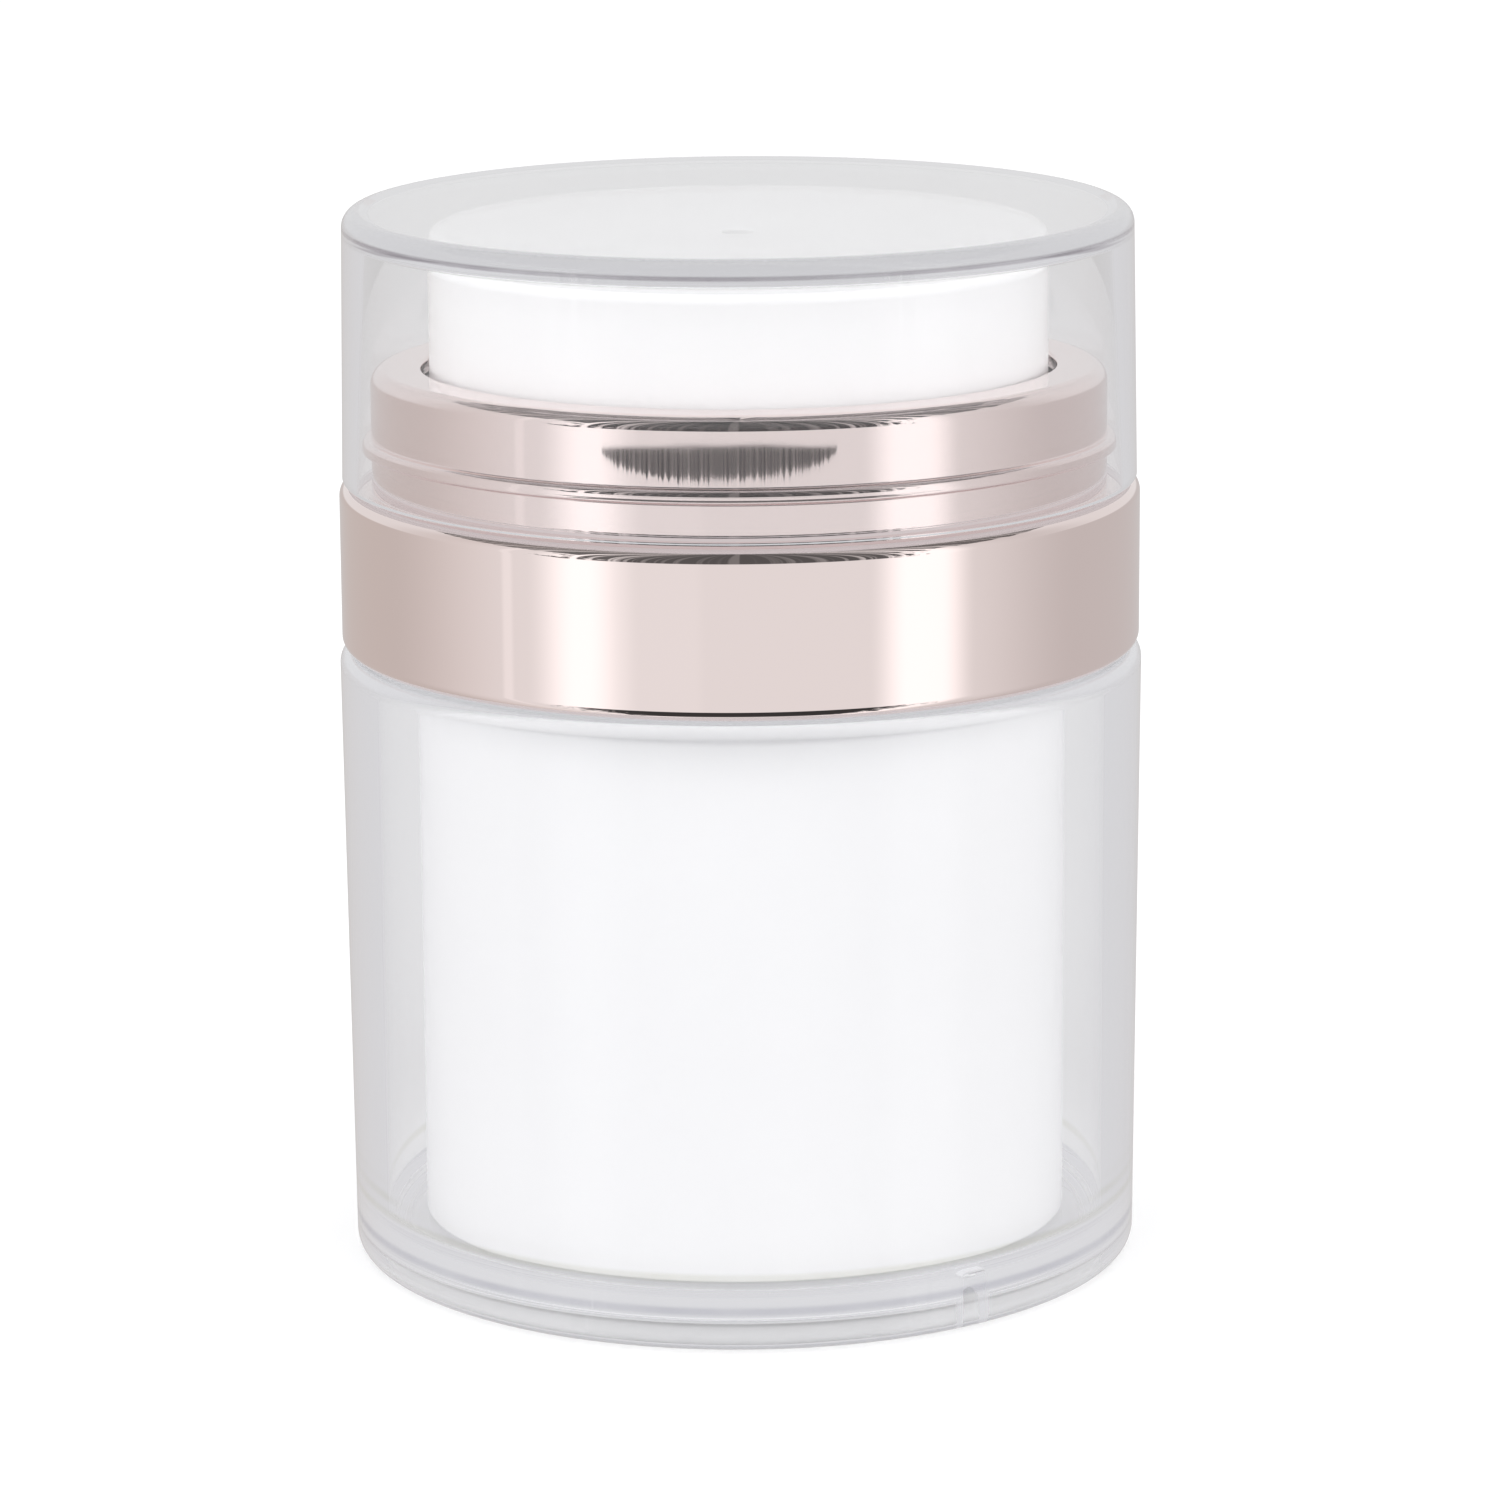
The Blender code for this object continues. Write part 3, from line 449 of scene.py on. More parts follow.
def clear_acrylic(name, edge, lines, inner_glow, crossings):
    """Polished clear acrylic with a softer gloss on its upper edge and painted shade lines at set
    heights.

    Lamp rays pass through. Rays that turn or cross too often in the walls end in an even glow.
    """
    material, tree, shader = new_shader(name)
    cloud = noise(tree, 25, 2)
    colour = blended(tree, cloud, (0.98, 0.98, 0.987), (0.992, 0.992, 0.995))
    reach, height = reach_and_height(tree)
    edge_radius, edge_height = edge
    outside = ranged(tree, reach, edge_radius, edge_radius + EDGE_FADE, 0.0, 1.0, True)
    uneven = ranged(tree, noise(tree, 140, 3), 0.35, 0.65, 0.7, 1.0)
    # Painted shade lines: bands at set heights darkened or tinted in the base colour, in place of
    # refraction shade
    for low, high, soft, tint in lines:
        line = product(tree, outside, between(tree, height, low, high, soft), uneven)
        colour = blended(tree, line, colour, tint)
    tree.links.new(colour, shader.inputs["Base Color"])
    shader.inputs["Transmission Weight"].default_value = 1.0
    shader.inputs["IOR"].default_value = PLASTIC_IOR
    gloss = ranged(tree, noise(tree, 90, 3), 0.3, 0.7, 0.006, 0.02)
    above = ranged(tree, height, edge_height, edge_height + EDGE_FADE, 0.0, 1.0, True)
    softer = product(tree, outside, above, EDGE_SOFTNESS)
    tree.links.new(maths(tree, "MAXIMUM", gloss, softer), shader.inputs["Roughness"])
    bump(tree, shader, noise(tree, 60, 1), 0.1, 0.01 * MM)
    path = add_node(tree, "ShaderNodeLightPath").outputs
    turned_once = at_least(tree, path["Glossy Depth"], 1)
    crossed = at_least(tree, path["Transmission Depth"], crossings + 1)
    trapped = at_least(tree, path["Glossy Depth"], EDGE_TURNS + 1)
    trapped = maths(tree, "MAXIMUM", trapped, product(tree, turned_once, crossed))
    seen = mix_in(tree, shader.outputs[0], trapped, inner_glow, EDGE_TINT)
    open_shader = add_node(tree, "ShaderNodeBsdfTransparent")
    mix = add_node(tree, "ShaderNodeMixShader", [(0, path["Is Shadow Ray"])])
    tree.links.new(seen, mix.inputs[1])
    tree.links.new(open_shader.outputs[0], mix.inputs[2])
    tree.links.new(mix.outputs[0], tree.nodes["Material Output"].inputs["Surface"])
    return material


def soften(corners, closed):
    """Outline points in which each corner (radius, height, rounding) becomes a fine arc."""
    points = []
    for index, (radius, height, rounding) in enumerate(corners):
        here = Vector((radius, height))
        at_end = not closed and index in (0, len(corners) - 1)
        if rounding == 0 or at_end:
            points.append(here)
            continue
        to_last = (Vector(corners[index - 1][:2]) - here).normalized()
        to_next = (Vector(corners[(index + 1) % len(corners)][:2]) - here).normalized()
        half_corner = to_last.angle(to_next) / 2
        centre = here + (to_last + to_next).normalized() * rounding / math.sin(half_corner)
        reach = rounding / math.tan(half_corner)
        first = here + to_last * reach - centre
        last = here + to_next * reach - centre
        start = math.atan2(first.y, first.x)
        swing = math.atan2(first.cross(last), first.dot(last))
        steps = max(LEAST_ARC_STEPS, math.ceil(abs(swing) * rounding / ARC_POINT_SPACING))
        for step in range(steps + 1):
            angle = start + swing * step / steps
            points.append(centre + Vector((math.cos(angle), math.sin(angle))) * rounding)
    return points


def shade(mesh, material):
    """Smooth faces with sharp real edges, in one material."""
    mesh.shade_smooth()
    mesh.set_sharp_from_angle(angle=SHARP_ANGLE)
    mesh.materials.clear()
    mesh.materials.append(material)


def add_piece(name, mesh, material):
    """A shaded piece from a mesh."""
    shade(mesh, material)
    piece = bpy.data.objects.new(name, mesh)
    bpy.context.scene.collection.objects.link(piece)
    return piece


def even_normals(piece):
    """Lets the flats decide the shading beside small roundings."""
    modifier = piece.modifiers.new("even_normals", "WEIGHTED_NORMAL")
    modifier.weight = 100
    modifier.keep_sharp = True


def turned(name, corners, material, steps=AROUND):
    """A piece turned about +Z from corners that run once round its section."""
    closed = corners[0][0] > 0
    points = soften(corners, closed)
    shape = bmesh.new()
    line = [shape.verts.new((point.x, 0, point.y)) for point in points]
    edges = [shape.edges.new(pair) for pair in zip(line, line[1:])]
    if closed:
        edges.append(shape.edges.new((line[-1], line[0])))
    bmesh.ops.spin(
        shape,
        geom=line + edges,
        cent=(0, 0, 0),
        axis=(0, 0, 1),
        dvec=(0, 0, 0),
        angle=math.tau,
        steps=steps,
        use_merge=True,
        use_duplicate=False,
    )
    bmesh.ops.remove_doubles(shape, verts=shape.verts, dist=WELD)
    bmesh.ops.recalc_face_normals(shape, faces=shape.faces)
    mesh = bpy.data.meshes.new(name)
    shape.to_mesh(mesh)
    shape.free()
    return add_piece(name, mesh, material)


def helper(name, shape):
    """A hidden object for a Boolean."""
    mesh = bpy.data.meshes.new(name)
    shape.to_mesh(mesh)
    shape.free()
    hidden = bpy.data.objects.new(name, mesh)
    bpy.context.scene.collection.objects.link(hidden)
    hidden.hide_render = True
    hidden.display_type = "WIRE"
    return hidden


def combine(piece, helpers, operation):
    """Applies Booleans to a piece's mesh and removes the helpers."""
    for other in helpers:
        modifier = piece.modifiers.new(other.name, "BOOLEAN")
        modifier.operation = operation
        modifier.solver = "EXACT"
        modifier.object = other
    graph = bpy.context.evaluated_depsgraph_get()
    mesh = bpy.data.meshes.new_from_object(piece.evaluated_get(graph))
    piece.modifiers.clear()
    material = piece.data.materials[0]
    piece.data = mesh
    shade(mesh, material)
    for other in helpers:
        bpy.data.objects.remove(other)


def rounded_box(name, size, centre, swing):
    """A box with rounded edges, moved to its centre and then swung about +Z."""
    shape = bmesh.new()
    bmesh.ops.create_cube(shape, size=1)
    bmesh.ops.scale(shape, vec=size, verts=shape.verts)
    bmesh.ops.bevel(
        shape,
        geom=shape.edges[:],
        offset=AIR_NOTCH_ROUNDING,
        segments=AIR_NOTCH_BEVEL_STEPS,
        profile=0.5,
        affect="EDGES",
    )
    move = Matrix.Rotation(swing, 4, "Z") @ Matrix.Translation(centre)
    bmesh.ops.transform(shape, matrix=move, verts=shape.verts)
    return helper(name, shape)


def thread_ridge(name, root_radius, crest_radius, base):
    """A helical ridge with a trapezoid section, closed at both ends."""
    half_root = THREAD_ROOT_WIDTH / 2
    half_crest = THREAD_CREST_WIDTH / 2
    start = base + THREAD_START
    section = [
        (root_radius, start - half_root),
        (crest_radius, start - half_crest),
        (crest_radius, start + half_crest),
        (root_radius, start + half_root),
    ]
    shape = bmesh.new()
    end = shape.faces.new([shape.verts.new((radius, 0, height)) for radius, height in section])
    bmesh.ops.spin(
        shape,
        geom=[end, *end.edges, *end.verts],
        cent=(0, 0, 0),
        axis=(0, 0, 1),
        dvec=(0, 0, THREAD_PITCH / AROUND_THREAD),
        angle=THREAD_TURNS * math.tau,
        steps=round(THREAD_TURNS * AROUND_THREAD),
    )
    open_edges = [edge for edge in shape.edges if edge.is_boundary]
    bmesh.ops.holes_fill(shape, edges=open_edges, sides=len(section))
    bmesh.ops.recalc_face_normals(shape, faces=shape.faces)
    return helper(name, shape)


def place(piece, body, slot, *nodes):
    """Hangs a piece on its body in place of CAD nodes. The slot is not used."""
    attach(piece, body)
    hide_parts(*nodes)


def make_outer_jar(material):
    """Clear jar: thick drafted wall, raised floor, foot ring and a notch for air."""
    floor_top = FOOT_DEPTH + JAR_FLOOR
    corners = [
        (0, floor_top, 0),
        (JAR_BORE, floor_top, JAR_FLOOR_ROUNDING),
        (JAR_BORE, JAR_HEIGHT, EDGE_ROUNDING),
        (JAR_RADIUS, JAR_HEIGHT, RIM_ROUNDING),
        (JAR_RADIUS - JAR_DRAFT, 0, FOOT_ROUNDING),
        (JAR_BORE, 0, FOOT_INNER_ROUNDING),
        (JAR_BORE, FOOT_DEPTH, FOOT_DEPTH_ROUNDING),
        (0, FOOT_DEPTH, 0),
    ]
    jar = turned("outer_jar_moulding", corners, material)
    inside = JAR_BORE - AIR_NOTCH_REACH
    outside = JAR_BORE + AIR_NOTCH_DEPTH
    notch_size = (outside - inside, AIR_NOTCH_WIDTH, AIR_NOTCH_HEIGHT + CUT_OVERRUN)
    notch_centre = ((outside + inside) / 2, 0, (AIR_NOTCH_HEIGHT - CUT_OVERRUN) / 2)
    notch = rounded_box("air_notch", notch_size, notch_centre, AIR_NOTCH_ANGLE)
    combine(jar, [notch], "DIFFERENCE")
    even_normals(jar)
    place(jar, "jar", "clear_acrylic", "outer_jar")


def make_inner_cup(material):
    """White cup that hangs from the jar's rim, with its threaded neck."""
    bore = JAR_BORE
    cup_radius = bore - AIR_SPACE
    cup_bore = cup_radius - CUP_WALL
    neck_radius = cup_bore + NECK_WALL
    low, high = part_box("inner_cup")
    cup_base = low[2]
    floor_top = cup_base + CUP_FLOOR
    flange_top = high[2] - NECK_HEIGHT
    flange_base = flange_top - FLANGE_THICKNESS
    plug_radius = bore - CUP_PLUG_GAP
    plug_base = flange_base - CUP_PLUG_HEIGHT
    corners = [
        (neck_radius, high[2], EDGE_ROUNDING),
        (neck_radius, flange_top, EDGE_ROUNDING),
        (FLANGE_RADIUS, flange_top, EDGE_ROUNDING),
        (FLANGE_RADIUS, flange_base, EDGE_ROUNDING),
        (plug_radius, flange_base, EDGE_ROUNDING),
        (plug_radius, plug_base, EDGE_ROUNDING),
        (cup_radius, plug_base - CUP_FLARE_HEIGHT, CUP_FLARE_ROUNDING),
        (cup_radius, cup_base, CUP_CORNER),
        (CUP_VENT_RADIUS, cup_base, EDGE_ROUNDING),
        (CUP_VENT_RADIUS, floor_top, EDGE_ROUNDING),
        (cup_bore, floor_top, EDGE_ROUNDING),
        (cup_bore, high[2], EDGE_ROUNDING),
    ]
    cup = turned("inner_cup_moulding", corners, material)
    crest = neck_radius + THREAD_DEPTH
    ridge = thread_ridge("neck_thread", neck_radius - THREAD_OVERLAP, crest, flange_top)
    combine(cup, [ridge], "UNION")
    even_normals(cup)
    place(cup, "jar", "white_plastic", "inner_cup")


def make_collar(material):
    """Plated collar in one piece: a wide band below and a narrower beaded ring above."""
    low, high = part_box("collar_shell")
    band_top = low[2] + BAND_HEIGHT
    bead_base = band_top + BEAD_RISE
    bead_top = bead_base + BEAD_HEIGHT
    bead_radius = RING_RADIUS + BEAD_PROUD
    ring_bore = RING_RADIUS - SHELL_WALL
    ring_ceiling = high[2] - SHELL_WALL
    band_bore = BAND_RADIUS - SHELL_WALL
    corners = [
        (RING_RADIUS, high[2], RING_EDGE_ROUNDING),
        (RING_RADIUS, bead_top, BEAD_FILLET),
        (bead_radius, bead_top, BEAD_ROUNDING),
        (bead_radius, bead_base, BEAD_ROUNDING),
        (RING_RADIUS, bead_base, BEAD_FILLET),
        (RING_RADIUS, band_top, EDGE_ROUNDING),
        (BAND_RADIUS, band_top, BAND_TOP_ROUNDING),
        (BAND_RADIUS, low[2], BAND_FOOT_ROUNDING),
        (band_bore, low[2], EDGE_ROUNDING),
        (band_bore, band_top - SHELL_WALL, EDGE_ROUNDING),
        (ring_bore, band_top - SHELL_WALL, EDGE_ROUNDING),
        (ring_bore, ring_ceiling, EDGE_ROUNDING),
        (RING_HOLE, ring_ceiling, EDGE_ROUNDING),
        (RING_HOLE, high[2], RING_HOLE_ROUNDING),
    ]
    collar = turned("collar_plated_shell", corners, material, AROUND_MIRROR)
    even_normals(collar)
    place(collar, "collar", "rose_plating", "collar_shell")


def make_press_head(material):
    """White press head: dished top, outlet, stem socket, spring rib and the catch at its foot."""
    low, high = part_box("press_head")
    catch_top = low[2] + HEAD_CATCH_HEIGHT
    ceiling = high[2] - HEAD_TOP
    head_bore = HEAD_RADIUS - HEAD_WALL
    dish = high[2] - HEAD_DISH_DEPTH
    rib_radius = SPRING_RIB_BORE + SPRING_RIB_WIDTH
    rib_base = ceiling - SPRING_RIB_HEIGHT
    boss_radius = STEM_FIT + BOSS_WALL
    boss_ceiling = ceiling - BOSS_CEILING
    corners = [
        (HEAD_RADIUS, high[2], HEAD_EDGE_ROUNDING),
        (HEAD_RADIUS, catch_top, EDGE_ROUNDING),
        (HEAD_CATCH_RADIUS, catch_top, EDGE_ROUNDING),
        (HEAD_CATCH_RADIUS, low[2], EDGE_ROUNDING),
        (head_bore, low[2], EDGE_ROUNDING),
        (head_bore, ceiling, HEAD_EDGE_ROUNDING),
        (rib_radius, ceiling, EDGE_ROUNDING),
        (rib_radius, rib_base, EDGE_ROUNDING),
        (SPRING_RIB_BORE, rib_base, EDGE_ROUNDING),
        (SPRING_RIB_BORE, ceiling, EDGE_ROUNDING),
        (boss_radius, ceiling, EDGE_ROUNDING),
        (boss_radius, BOSS_BASE, EDGE_ROUNDING),
        (STEM_FIT, BOSS_BASE, EDGE_ROUNDING),
        (STEM_FIT, boss_ceiling, EDGE_ROUNDING),
        (ORIFICE_RADIUS, boss_ceiling, EDGE_ROUNDING),
        (ORIFICE_RADIUS, dish, EDGE_ROUNDING),
        (ORIFICE_RADIUS + HEAD_DISH_FLAT, dish, HEAD_DISH_FLAT),
        (HEAD_RADIUS - HEAD_DISH_RIM, high[2], HEAD_DISH_RIM),
    ]
    head = turned("press_head_moulding", corners, material)
    even_normals(head)
    place(head, "head", "white_plastic", "press_head")


def make_overcap(material):
    """Clear overcap with a thick flat top and a drafted inside that passes the bead."""
    low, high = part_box("overcap")
    cap_radius = CAP_BORE + CAP_WALL
    ceiling = high[2] - CAP_TOP
    corners = [
        (0, high[2], 0),
        (cap_radius, high[2], CAP_EDGE_ROUNDING),
        (cap_radius + CAP_DRAFT, low[2], EDGE_ROUNDING),
        (CAP_MOUTH, low[2], EDGE_ROUNDING),
        (CAP_BORE, ceiling, CAP_INNER_ROUNDING),
        (0, ceiling, 0),
    ]
    cap = turned("overcap_moulding", corners, material)
    even_normals(cap)
    place(cap, "cap", "clear_acrylic", "overcap")


def make_return_spring(material):
    """Coil spring between the pump's plate and the head, built at one length; the real one shortens
    as the head goes down.
    """
    low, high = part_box("return_spring")
    first = low[2] + SPRING_WIRE_RADIUS
    last = high[2] - SPRING_WIRE_RADIUS
    count = SPRING_TURNS * SPRING_POINTS_PER_TURN
    curve = bpy.data.curves.new("spring_path", "CURVE")
    curve.dimensions = "3D"
    curve.bevel_depth = SPRING_WIRE_RADIUS
    curve.bevel_resolution = SPRING_BEVEL_STEPS
    curve.use_fill_caps = True
    line = curve.splines.new("POLY")
    line.points.add(count)
    for index, point in enumerate(line.points):
        share = index / count
        angle = math.tau * SPRING_TURNS * share
        height = first + (last - first) * share
        point.co = (SPRING_RADIUS * math.cos(angle), SPRING_RADIUS * math.sin(angle), height, 1)
    guide = bpy.data.objects.new("spring_path", curve)
    bpy.context.scene.collection.objects.link(guide)
    graph = bpy.context.evaluated_depsgraph_get()
    mesh = bpy.data.meshes.new_from_object(guide.evaluated_get(graph))
    bpy.data.objects.remove(guide)
    shape = bmesh.new()
    shape.from_mesh(mesh)
    bmesh.ops.remove_doubles(shape, verts=shape.verts, dist=WELD)
    shape.to_mesh(mesh)
    shape.free()
    spring = add_piece("return_spring_coil", mesh, material)
    place(spring, "pump", "spring_wire", "return_spring")
    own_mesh(spring)


def dress(nodes, material):
    """Gives CAD nodes that keep their shape a material."""
    for name in nodes:
        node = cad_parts[name]
        if not node.material_slots:
            node.data.materials.append(material)
        node.material_slots[0].link = "OBJECT"
        node.material_slots[0].material = material


def add_camera():
    """The photograph's camera."""
    data = bpy.data.cameras.new("camera")
    data.sensor_width = CAMERA_SENSOR / MM
    data.lens = CAMERA_FOCAL_PIXELS / PICTURE_PIXELS * data.sensor_width
    data.clip_start = CAMERA_CLIP_START
    data.clip_end = FLOOR_SIZE * 2
    camera = bpy.data.objects.new("camera", data)
    tilt = Matrix.Rotation(math.pi / 2 - CAMERA_TILT, 4, "X")
    roll = Matrix.Rotation(CAMERA_ROLL, 4, "Z")
    camera.matrix_world = Matrix.Translation(CAMERA_PLACE) @ tilt @ roll
    bpy.context.scene.collection.objects.link(camera)
    bpy.context.scene.camera = camera


def reflected_rays(tree):
    """Two factors: rays that metal under the cap reflected, and rays that turned in clear walls."""
    path = add_node(tree, "ShaderNodeLightPath").outputs
    turned_once = at_least(tree, path["Glossy Depth"], 1)
    few_turns = maths(tree, "SUBTRACT", 1.0, at_least(tree, path["Glossy Depth"], 3))
    behind_cap = at_least(tree, path["Transmission Depth"], 4)
    under_cap = product(tree, turned_once, few_turns, behind_cap)
    crossed = at_least(tree, path["Transmission Depth"], 2)
    other = maths(tree, "SUBTRACT", 1.0, under_cap)
    return under_cap, product(tree, turned_once, crossed, other)


def azimuth_of(tree, parts):
    """The angle round +Z, with zero at the front and positive to the right."""
    return maths(tree, "ARCTAN2", parts[0], maths(tree, "MULTIPLY", parts[1], -1.0))


def studio_glow(tree, azimuth):
    """Strength of the light tent round the jar: pale in front, dimmer behind, with softboxes."""
    around = maths(tree, "ABSOLUTE", maths(tree, "ADD", azimuth, TENT_SHIFT))
    glow = ranged(tree, around, *TENT_DIMS, TENT_FRONT, TENT_BACK, True)
    for centre, inner, outer, gain in TENT_STRIPS:
        away = maths(tree, "ABSOLUTE", maths(tree, "SUBTRACT", azimuth, math.radians(centre)))
        strip = ranged(tree, away, math.radians(inner), math.radians(outer), gain, 0.0, True)
        glow = maths(tree, "ADD", glow, strip)
    return glow


def studio_tint(tree, azimuth):
    """Warmth of the tent: white in front and warmer towards the back, most of all at the left."""
    around = maths(tree, "ABSOLUTE", azimuth)
    tint = blended(tree, ranged(tree, around, *BACK_TINT_FADE, 0, 1), (1, 1, 1), BACK_TINT)
    left = ranged(tree, azimuth, *LEFT_TINT_FADE, 0, 1)
    left = product(tree, left, ranged(tree, azimuth, *LEFT_TINT_END, 0, 1))
    return blended(tree, left, tint, LEFT_TINT)


def front_gap(tree, azimuth, vector, scale, half_width):
    """1 inside the dark gap between the softboxes, with a ragged edge."""
    links = [("Vector", vector), ("Scale", scale), ("Detail", 3.0)]
    ragged = add_node(tree, "ShaderNodeTexNoise", links).outputs["Fac"]
    ragged = ranged(tree, ragged, 0.3, 0.7, *GAP_RAGGEDNESS)
    beyond = maths(tree, "SUBTRACT", maths(tree, "ABSOLUTE", azimuth), half_width)
    beyond = maths(tree, "ADD", beyond, ragged)
    return ranged(tree, beyond, -GAP_SOFTNESS, GAP_SOFTNESS, 1.0, 0.0, True)


def streaks(tree, azimuth, scale, detail):
    """Noise that changes only round +Z."""
    links = [("W", azimuth), ("Scale", scale), ("Detail", detail)]
    return add_node(tree, "ShaderNodeTexNoise", links, noise_dimensions="1D").outputs["Fac"]


def floor_patch(tree, azimuth, spread):
    """1 inside the streaky arch on the floor that the plated ring reflects as a dark patch."""
    across = maths(tree, "SUBTRACT", azimuth, PATCH_CENTRE)
    across = maths(tree, "ABSOLUTE", maths(tree, "DIVIDE", across, PATCH_HALF_WIDTH))
    arch = maths(tree, "SUBTRACT", 1.0, maths(tree, "POWER", across, 2.0))
    arch = maths(tree, "SQRT", maths(tree, "MAXIMUM", arch, 0.0))
    lines = streaks(tree, azimuth, *PATCH_GRAIN)
    arch = product(tree, arch, ranged(tree, lines, 0.3, 0.7, *PATCH_RAGGEDNESS))
    low_edge = maths(tree, "SUBTRACT", PATCH_END, product(tree, arch, PATCH_DEPTH))
    past = maths(tree, "SUBTRACT", spread, low_edge)
    start = ranged(tree, past, -PATCH_OUTER_FADE, PATCH_INNER_FADE, 0.0, 1.0, True)
    last, beyond = PATCH_END - PATCH_INNER_FADE, PATCH_END + PATCH_OUTER_FADE
    end = ranged(tree, spread, last, beyond, 1.0, 0.0, True)
    inside = ranged(tree, arch, *PATCH_CORNERS, 0.0, 1.0)
    level = ranged(tree, lines, 0.3, 0.7, *PATCH_DARKNESS)
    return product(tree, start, end, inside, level)


def floor_material():
    """Floor: white for the camera, grey through clear walls, with dark marks for the plating."""
    material, tree, shader = new_shader("floor")
    shader.inputs["Base Color"].default_value = (*FLOOR_COLOUR, 1)
    shader.inputs["Roughness"].default_value = 0.9
    point = add_node(tree, "ShaderNodeTexCoord").outputs["Object"]
    azimuth = azimuth_of(tree, add_node(tree, "ShaderNodeSeparateXYZ", [(0, point)]).outputs)
    spread = add_node(tree, "ShaderNodeVectorMath", [(0, point)], operation="LENGTH")
    spread = spread.outputs["Value"]
    under_lift, near_lift = FLOOR_CLEAR_LIFT_UNDER, FLOOR_CLEAR_LIFT_NEAR
    lift = ranged(tree, spread, *FLOOR_UNDER, under_lift, near_lift, True)
    lift = product(tree, lift, ranged(tree, spread, *FLOOR_NEAR, 1.0, 0.0, True))
    lift = maths(tree, "ADD", lift, FLOOR_CLEAR_LIFT)
    path = add_node(tree, "ShaderNodeLightPath").outputs
    lift = product(tree, path["Is Transmission Ray"], lift)
    direct = product(tree, path["Is Camera Ray"], FLOOR_CAMERA_LIFT)
    shader.inputs["Emission Color"].default_value = (1, 1, 1, 1)
    tree.links.new(maths(tree, "ADD", lift, direct), shader.inputs["Emission Strength"])
    under_cap, in_walls = reflected_rays(tree)
    edges = mix_in(tree, shader.outputs[0], in_walls, EDGE_GLOW, EDGE_TINT)
    near = product(
        tree,
        between(tree, spread, *FLOOR_GAP),
        front_gap(tree, azimuth, point, FINE_GRAIN, GAP_HALF_WIDTH),
        FLOOR_GAP_DARKNESS,
    )
    dark = maths(tree, "MAXIMUM", near, floor_patch(tree, azimuth, spread))
    glow = product(tree, studio_glow(tree, azimuth), maths(tree, "SUBTRACT", 1.0, dark))
    seen = mix_in(tree, edges, under_cap, glow, studio_tint(tree, azimuth))
    tree.links.new(seen, tree.nodes["Material Output"].inputs["Surface"])
    material.cycles.emission_sampling = "NONE"
    return material


def add_floor():
    """Pale floor that looks white and keeps the jar's soft shadow."""
    shape = bmesh.new()
    bmesh.ops.create_grid(shape, x_segments=1, y_segments=1, size=FLOOR_SIZE / 2)
    mesh = bpy.data.meshes.new("floor")
    shape.to_mesh(mesh)
    shape.free()
    mesh.materials.append(floor_material())
    floor = bpy.data.objects.new("floor", mesh)
    floor.location.z = -FLOOR_DROP
    floor.visible_glossy = False
    bpy.context.scene.collection.objects.link(floor)


def add_world():
    """White for the camera, metal and clear walls, and an even light for the rest."""
    world = bpy.data.worlds.new("studio")
    bpy.context.scene.world = world
    world.use_nodes = True
    tree = world.node_tree
    path = add_node(tree, "ShaderNodeLightPath").outputs
    seen = maths(tree, "MAXIMUM", path["Is Camera Ray"], path["Is Glossy Ray"])
    seen = maths(tree, "MAXIMUM", seen, path["Is Transmission Ray"])
    background = tree.nodes["Background"]
    background.inputs["Color"].default_value = (1, 1, 1, 1)
    tree.links.new(ranged(tree, seen, 0, 1, AMBIENT, 1.0), background.inputs["Strength"])


def tent_gap(tree, azimuth, direction, height, bare):
    """Darkness of the tent between its softboxes, above and below the horizon."""
    wide = ranged(tree, height, *GAP_WIDENS, GAP_HALF_WIDTH, GAP_TOP_HALF_WIDTH, True)
    around = maths(tree, "ABSOLUTE", azimuth)
    pale = ranged(tree, around, *STREAKS_FADE, STREAKS_LEAST, 0.0, True)
    above = product(
        tree,
        front_gap(tree, azimuth, direction, COARSE_GRAIN, wide),
        ranged(tree, height, *GAP_STARTS, 0.0, 1.0, True),
        ranged(tree, bare, 0, 1, 1.0, GAP_DARKNESS_BARE),
        ranged(tree, streaks(tree, azimuth, *STREAKS_GRAIN), *STREAKS_CUT, pale, 1.0),
    )
    below = product(
        tree,
        front_gap(tree, azimuth, direction, FINE_GRAIN, GAP_HALF_WIDTH),
        between(tree, height, *LOW_GAP),
        LOW_GAP_DARKNESS,
    )
    return maths(tree, "MAXIMUM", above, below)


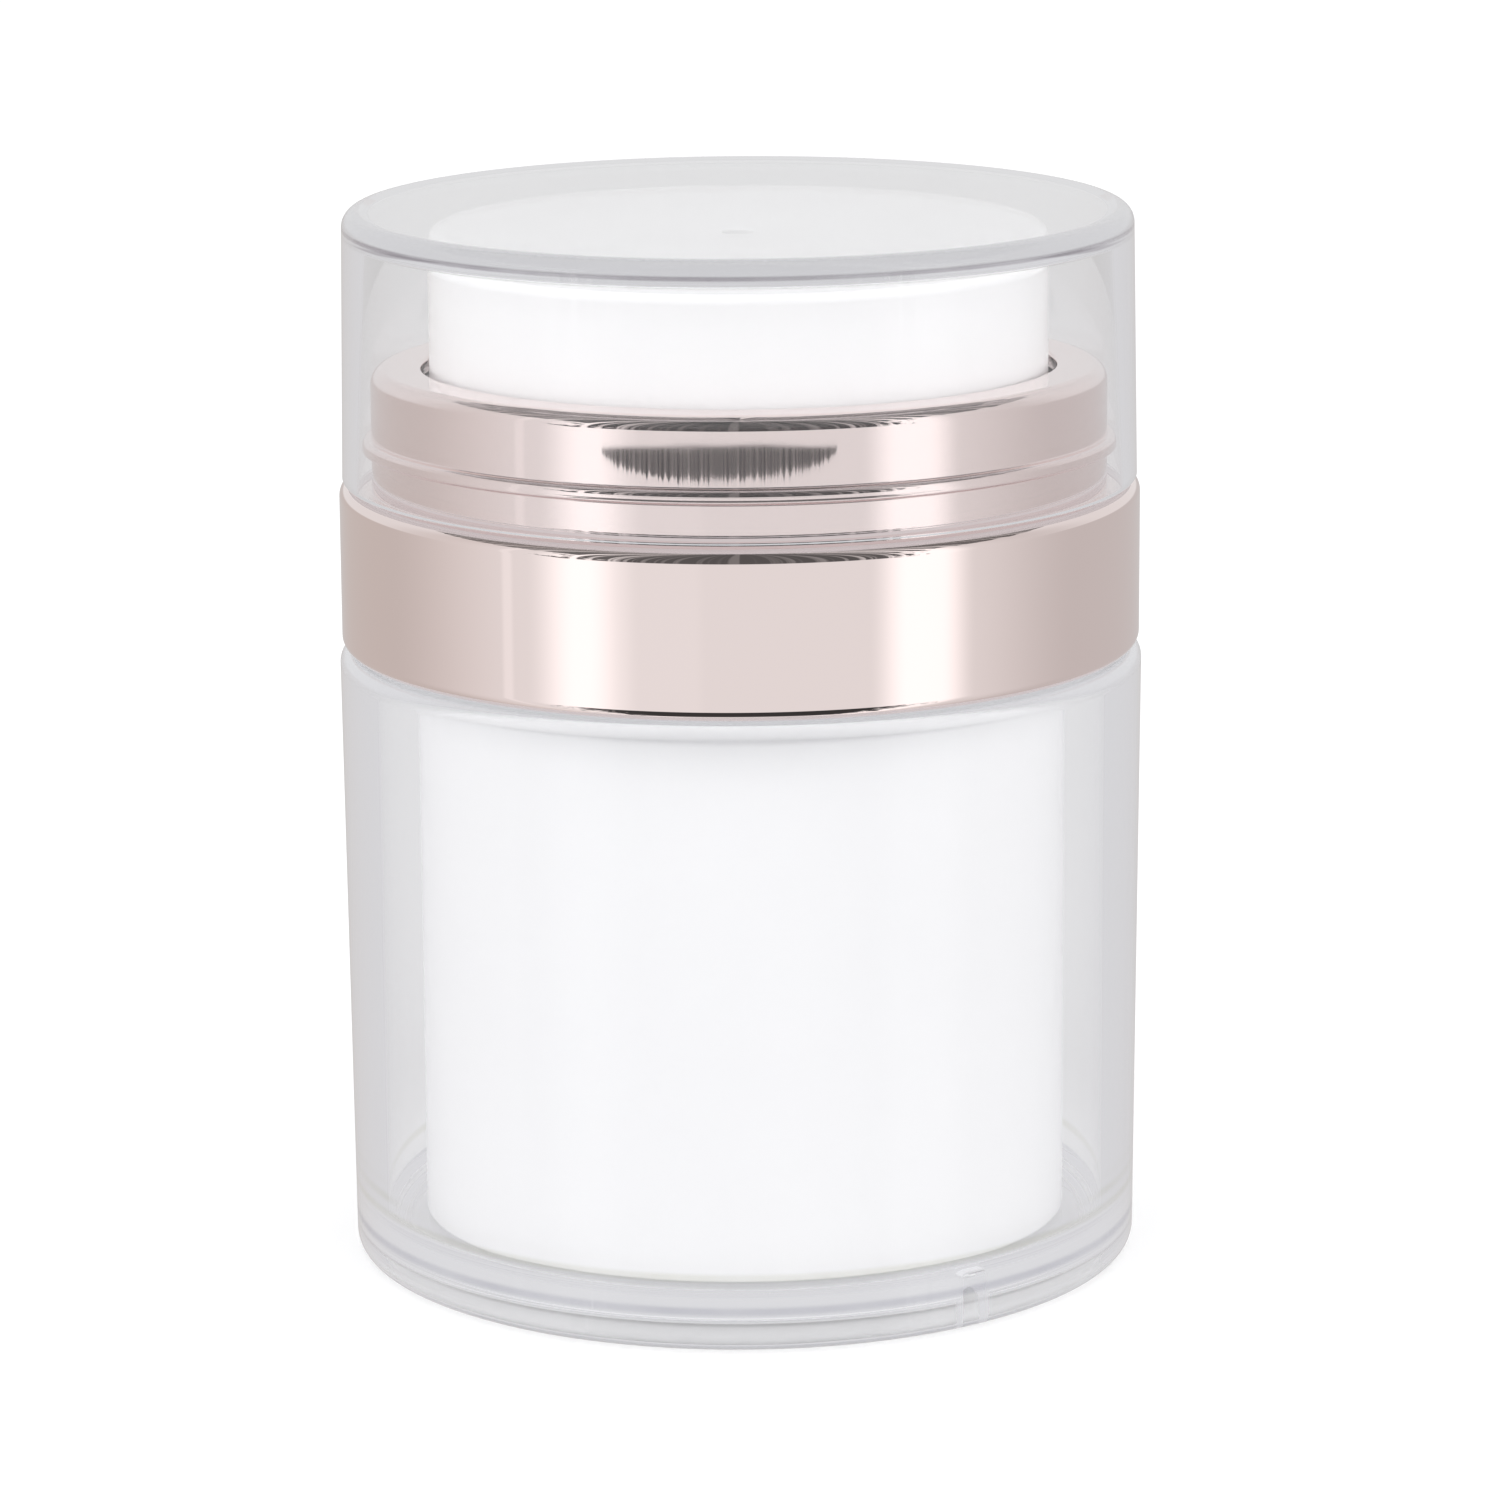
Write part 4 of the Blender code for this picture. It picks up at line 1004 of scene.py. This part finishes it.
def tent_material():
    """Glow of the tent: a studio for bare and capped metal, and plain levels for clear walls."""
    material = bpy.data.materials.new("light_tent")
    material.use_nodes = True
    tree = material.node_tree
    tree.nodes.clear()
    point = add_node(tree, "ShaderNodeTexCoord").outputs["Object"]
    direction = add_node(tree, "ShaderNodeVectorMath", [(0, point)], operation="NORMALIZE")
    direction = direction.outputs[0]
    parts = add_node(tree, "ShaderNodeSeparateXYZ", [(0, direction)]).outputs
    azimuth, height = azimuth_of(tree, parts), parts[2]
    path = add_node(tree, "ShaderNodeLightPath").outputs
    bare = maths(tree, "SUBTRACT", 1.0, at_least(tree, path["Transmission Depth"], 1))
    under_cap, in_walls = reflected_rays(tree)
    metal = maths(tree, "ADD", bare, under_cap)
    dark = product(tree, metal, tent_gap(tree, azimuth, direction, height, bare))
    rise = ranged(tree, height, *BACK_STARTS, 0.0, 1.0, True)
    around = maths(tree, "ABSOLUTE", azimuth)
    rise = product(tree, rise, ranged(tree, around, *BACK_FADE, 0.0, 1.0, True))
    studio = studio_glow(tree, azimuth)
    glow = add_node(tree, "ShaderNodeMix", [(0, rise), (2, studio), (3, TENT_BACK_ABOVE)])
    glow = product(tree, glow.outputs[0], maths(tree, "SUBTRACT", 1.0, dark))
    tinted = product(tree, metal, maths(tree, "SUBTRACT", 1.0, rise))
    tint = blended(tree, tinted, (1, 1, 1), studio_tint(tree, azimuth))
    plain = add_node(tree, "ShaderNodeEmission", [("Strength", glow), ("Color", tint)])
    edges = mix_in(tree, plain.outputs[0], in_walls, EDGE_GLOW, EDGE_TINT)
    scattered = at_least(tree, path["Diffuse Depth"], 1)
    seen = mix_in(tree, edges, scattered, AMBIENT_BEHIND_WALLS, (1, 1, 1))
    output = add_node(tree, "ShaderNodeOutputMaterial")
    tree.links.new(seen, output.inputs["Surface"])
    material.cycles.emission_sampling = "NONE"
    return material


def add_tent():
    """Light tent that only the plating and rays through clear walls can see."""
    shape = bmesh.new()
    bmesh.ops.create_uvsphere(shape, u_segments=64, v_segments=32, radius=TENT_RADIUS)
    mesh = bpy.data.meshes.new("light_tent")
    shape.to_mesh(mesh)
    shape.free()
    mesh.materials.append(tent_material())
    tent = bpy.data.objects.new("light_tent", mesh)
    tent.location.z = TENT_HEIGHT
    for kind in ("camera", "diffuse", "shadow", "volume_scatter"):
        setattr(tent, "visible_" + kind, False)
    bpy.context.scene.collection.objects.link(tent)


def add_lamp(name, side, rise, distance, size, power):
    """A softbox that points at the jar. Its side angle is 0 at the front."""
    data = bpy.data.lights.new(name, "AREA")
    data.shape = "RECTANGLE"
    data.size, data.size_y = size
    data.energy = power
    lamp = bpy.data.objects.new(name, data)
    toward = Vector(
        (math.sin(side) * math.cos(rise), -math.cos(side) * math.cos(rise), math.sin(rise))
    )
    lamp.location = Vector((0, 0, TENT_HEIGHT)) + toward * distance
    lamp.rotation_mode = "QUATERNION"
    lamp.rotation_quaternion = toward.to_track_quat("Z", "Y")
    lamp.visible_glossy = False
    lamp.visible_transmission = False
    bpy.context.scene.collection.objects.link(lamp)


def main():
    """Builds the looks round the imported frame."""
    white = white_plastic()
    milky = milky_plastic()
    jar_clear = clear_acrylic("clear_acrylic_jar", JAR_EDGE, JAR_PAINTED_SHADE_LINES, JAR_GLOW, JAR_CROSSINGS)
    make_outer_jar(jar_clear)
    make_inner_cup(white)
    make_collar(rose_plating())
    make_press_head(white)
    cap_clear = clear_acrylic("clear_acrylic_cap", CAP_EDGE, CAP_PAINTED_SHADE_LINES, CAP_GLOW, CAP_CROSSINGS)
    make_overcap(cap_clear)
    make_return_spring(drawn_wire())
    dress(["closure_ring", "pump_stem", "piston_seat", "cylinder_cap"], white)
    dress(["follower_piston", "pump_body", "valve_retainer", "stem_piston"], milky)
    dress(["inlet_valve"], silicone())
    dress(["neck_gasket"], foam())
    add_floor()
    add_world()
    add_tent()
    for name, side, rise, distance, width, height, power in LAMPS:
        add_lamp(name, math.radians(side), math.radians(rise), distance, (width, height), power)
    add_camera()
    bpy.context.scene.view_settings.view_transform = "Standard"
    bpy.context.scene.cycles.glossy_bounces = WALL_BOUNCES
    bpy.context.scene.cycles.transmission_bounces = WALL_BOUNCES
    bpy.context.scene.cycles.max_bounces = ALL_BOUNCES


main()
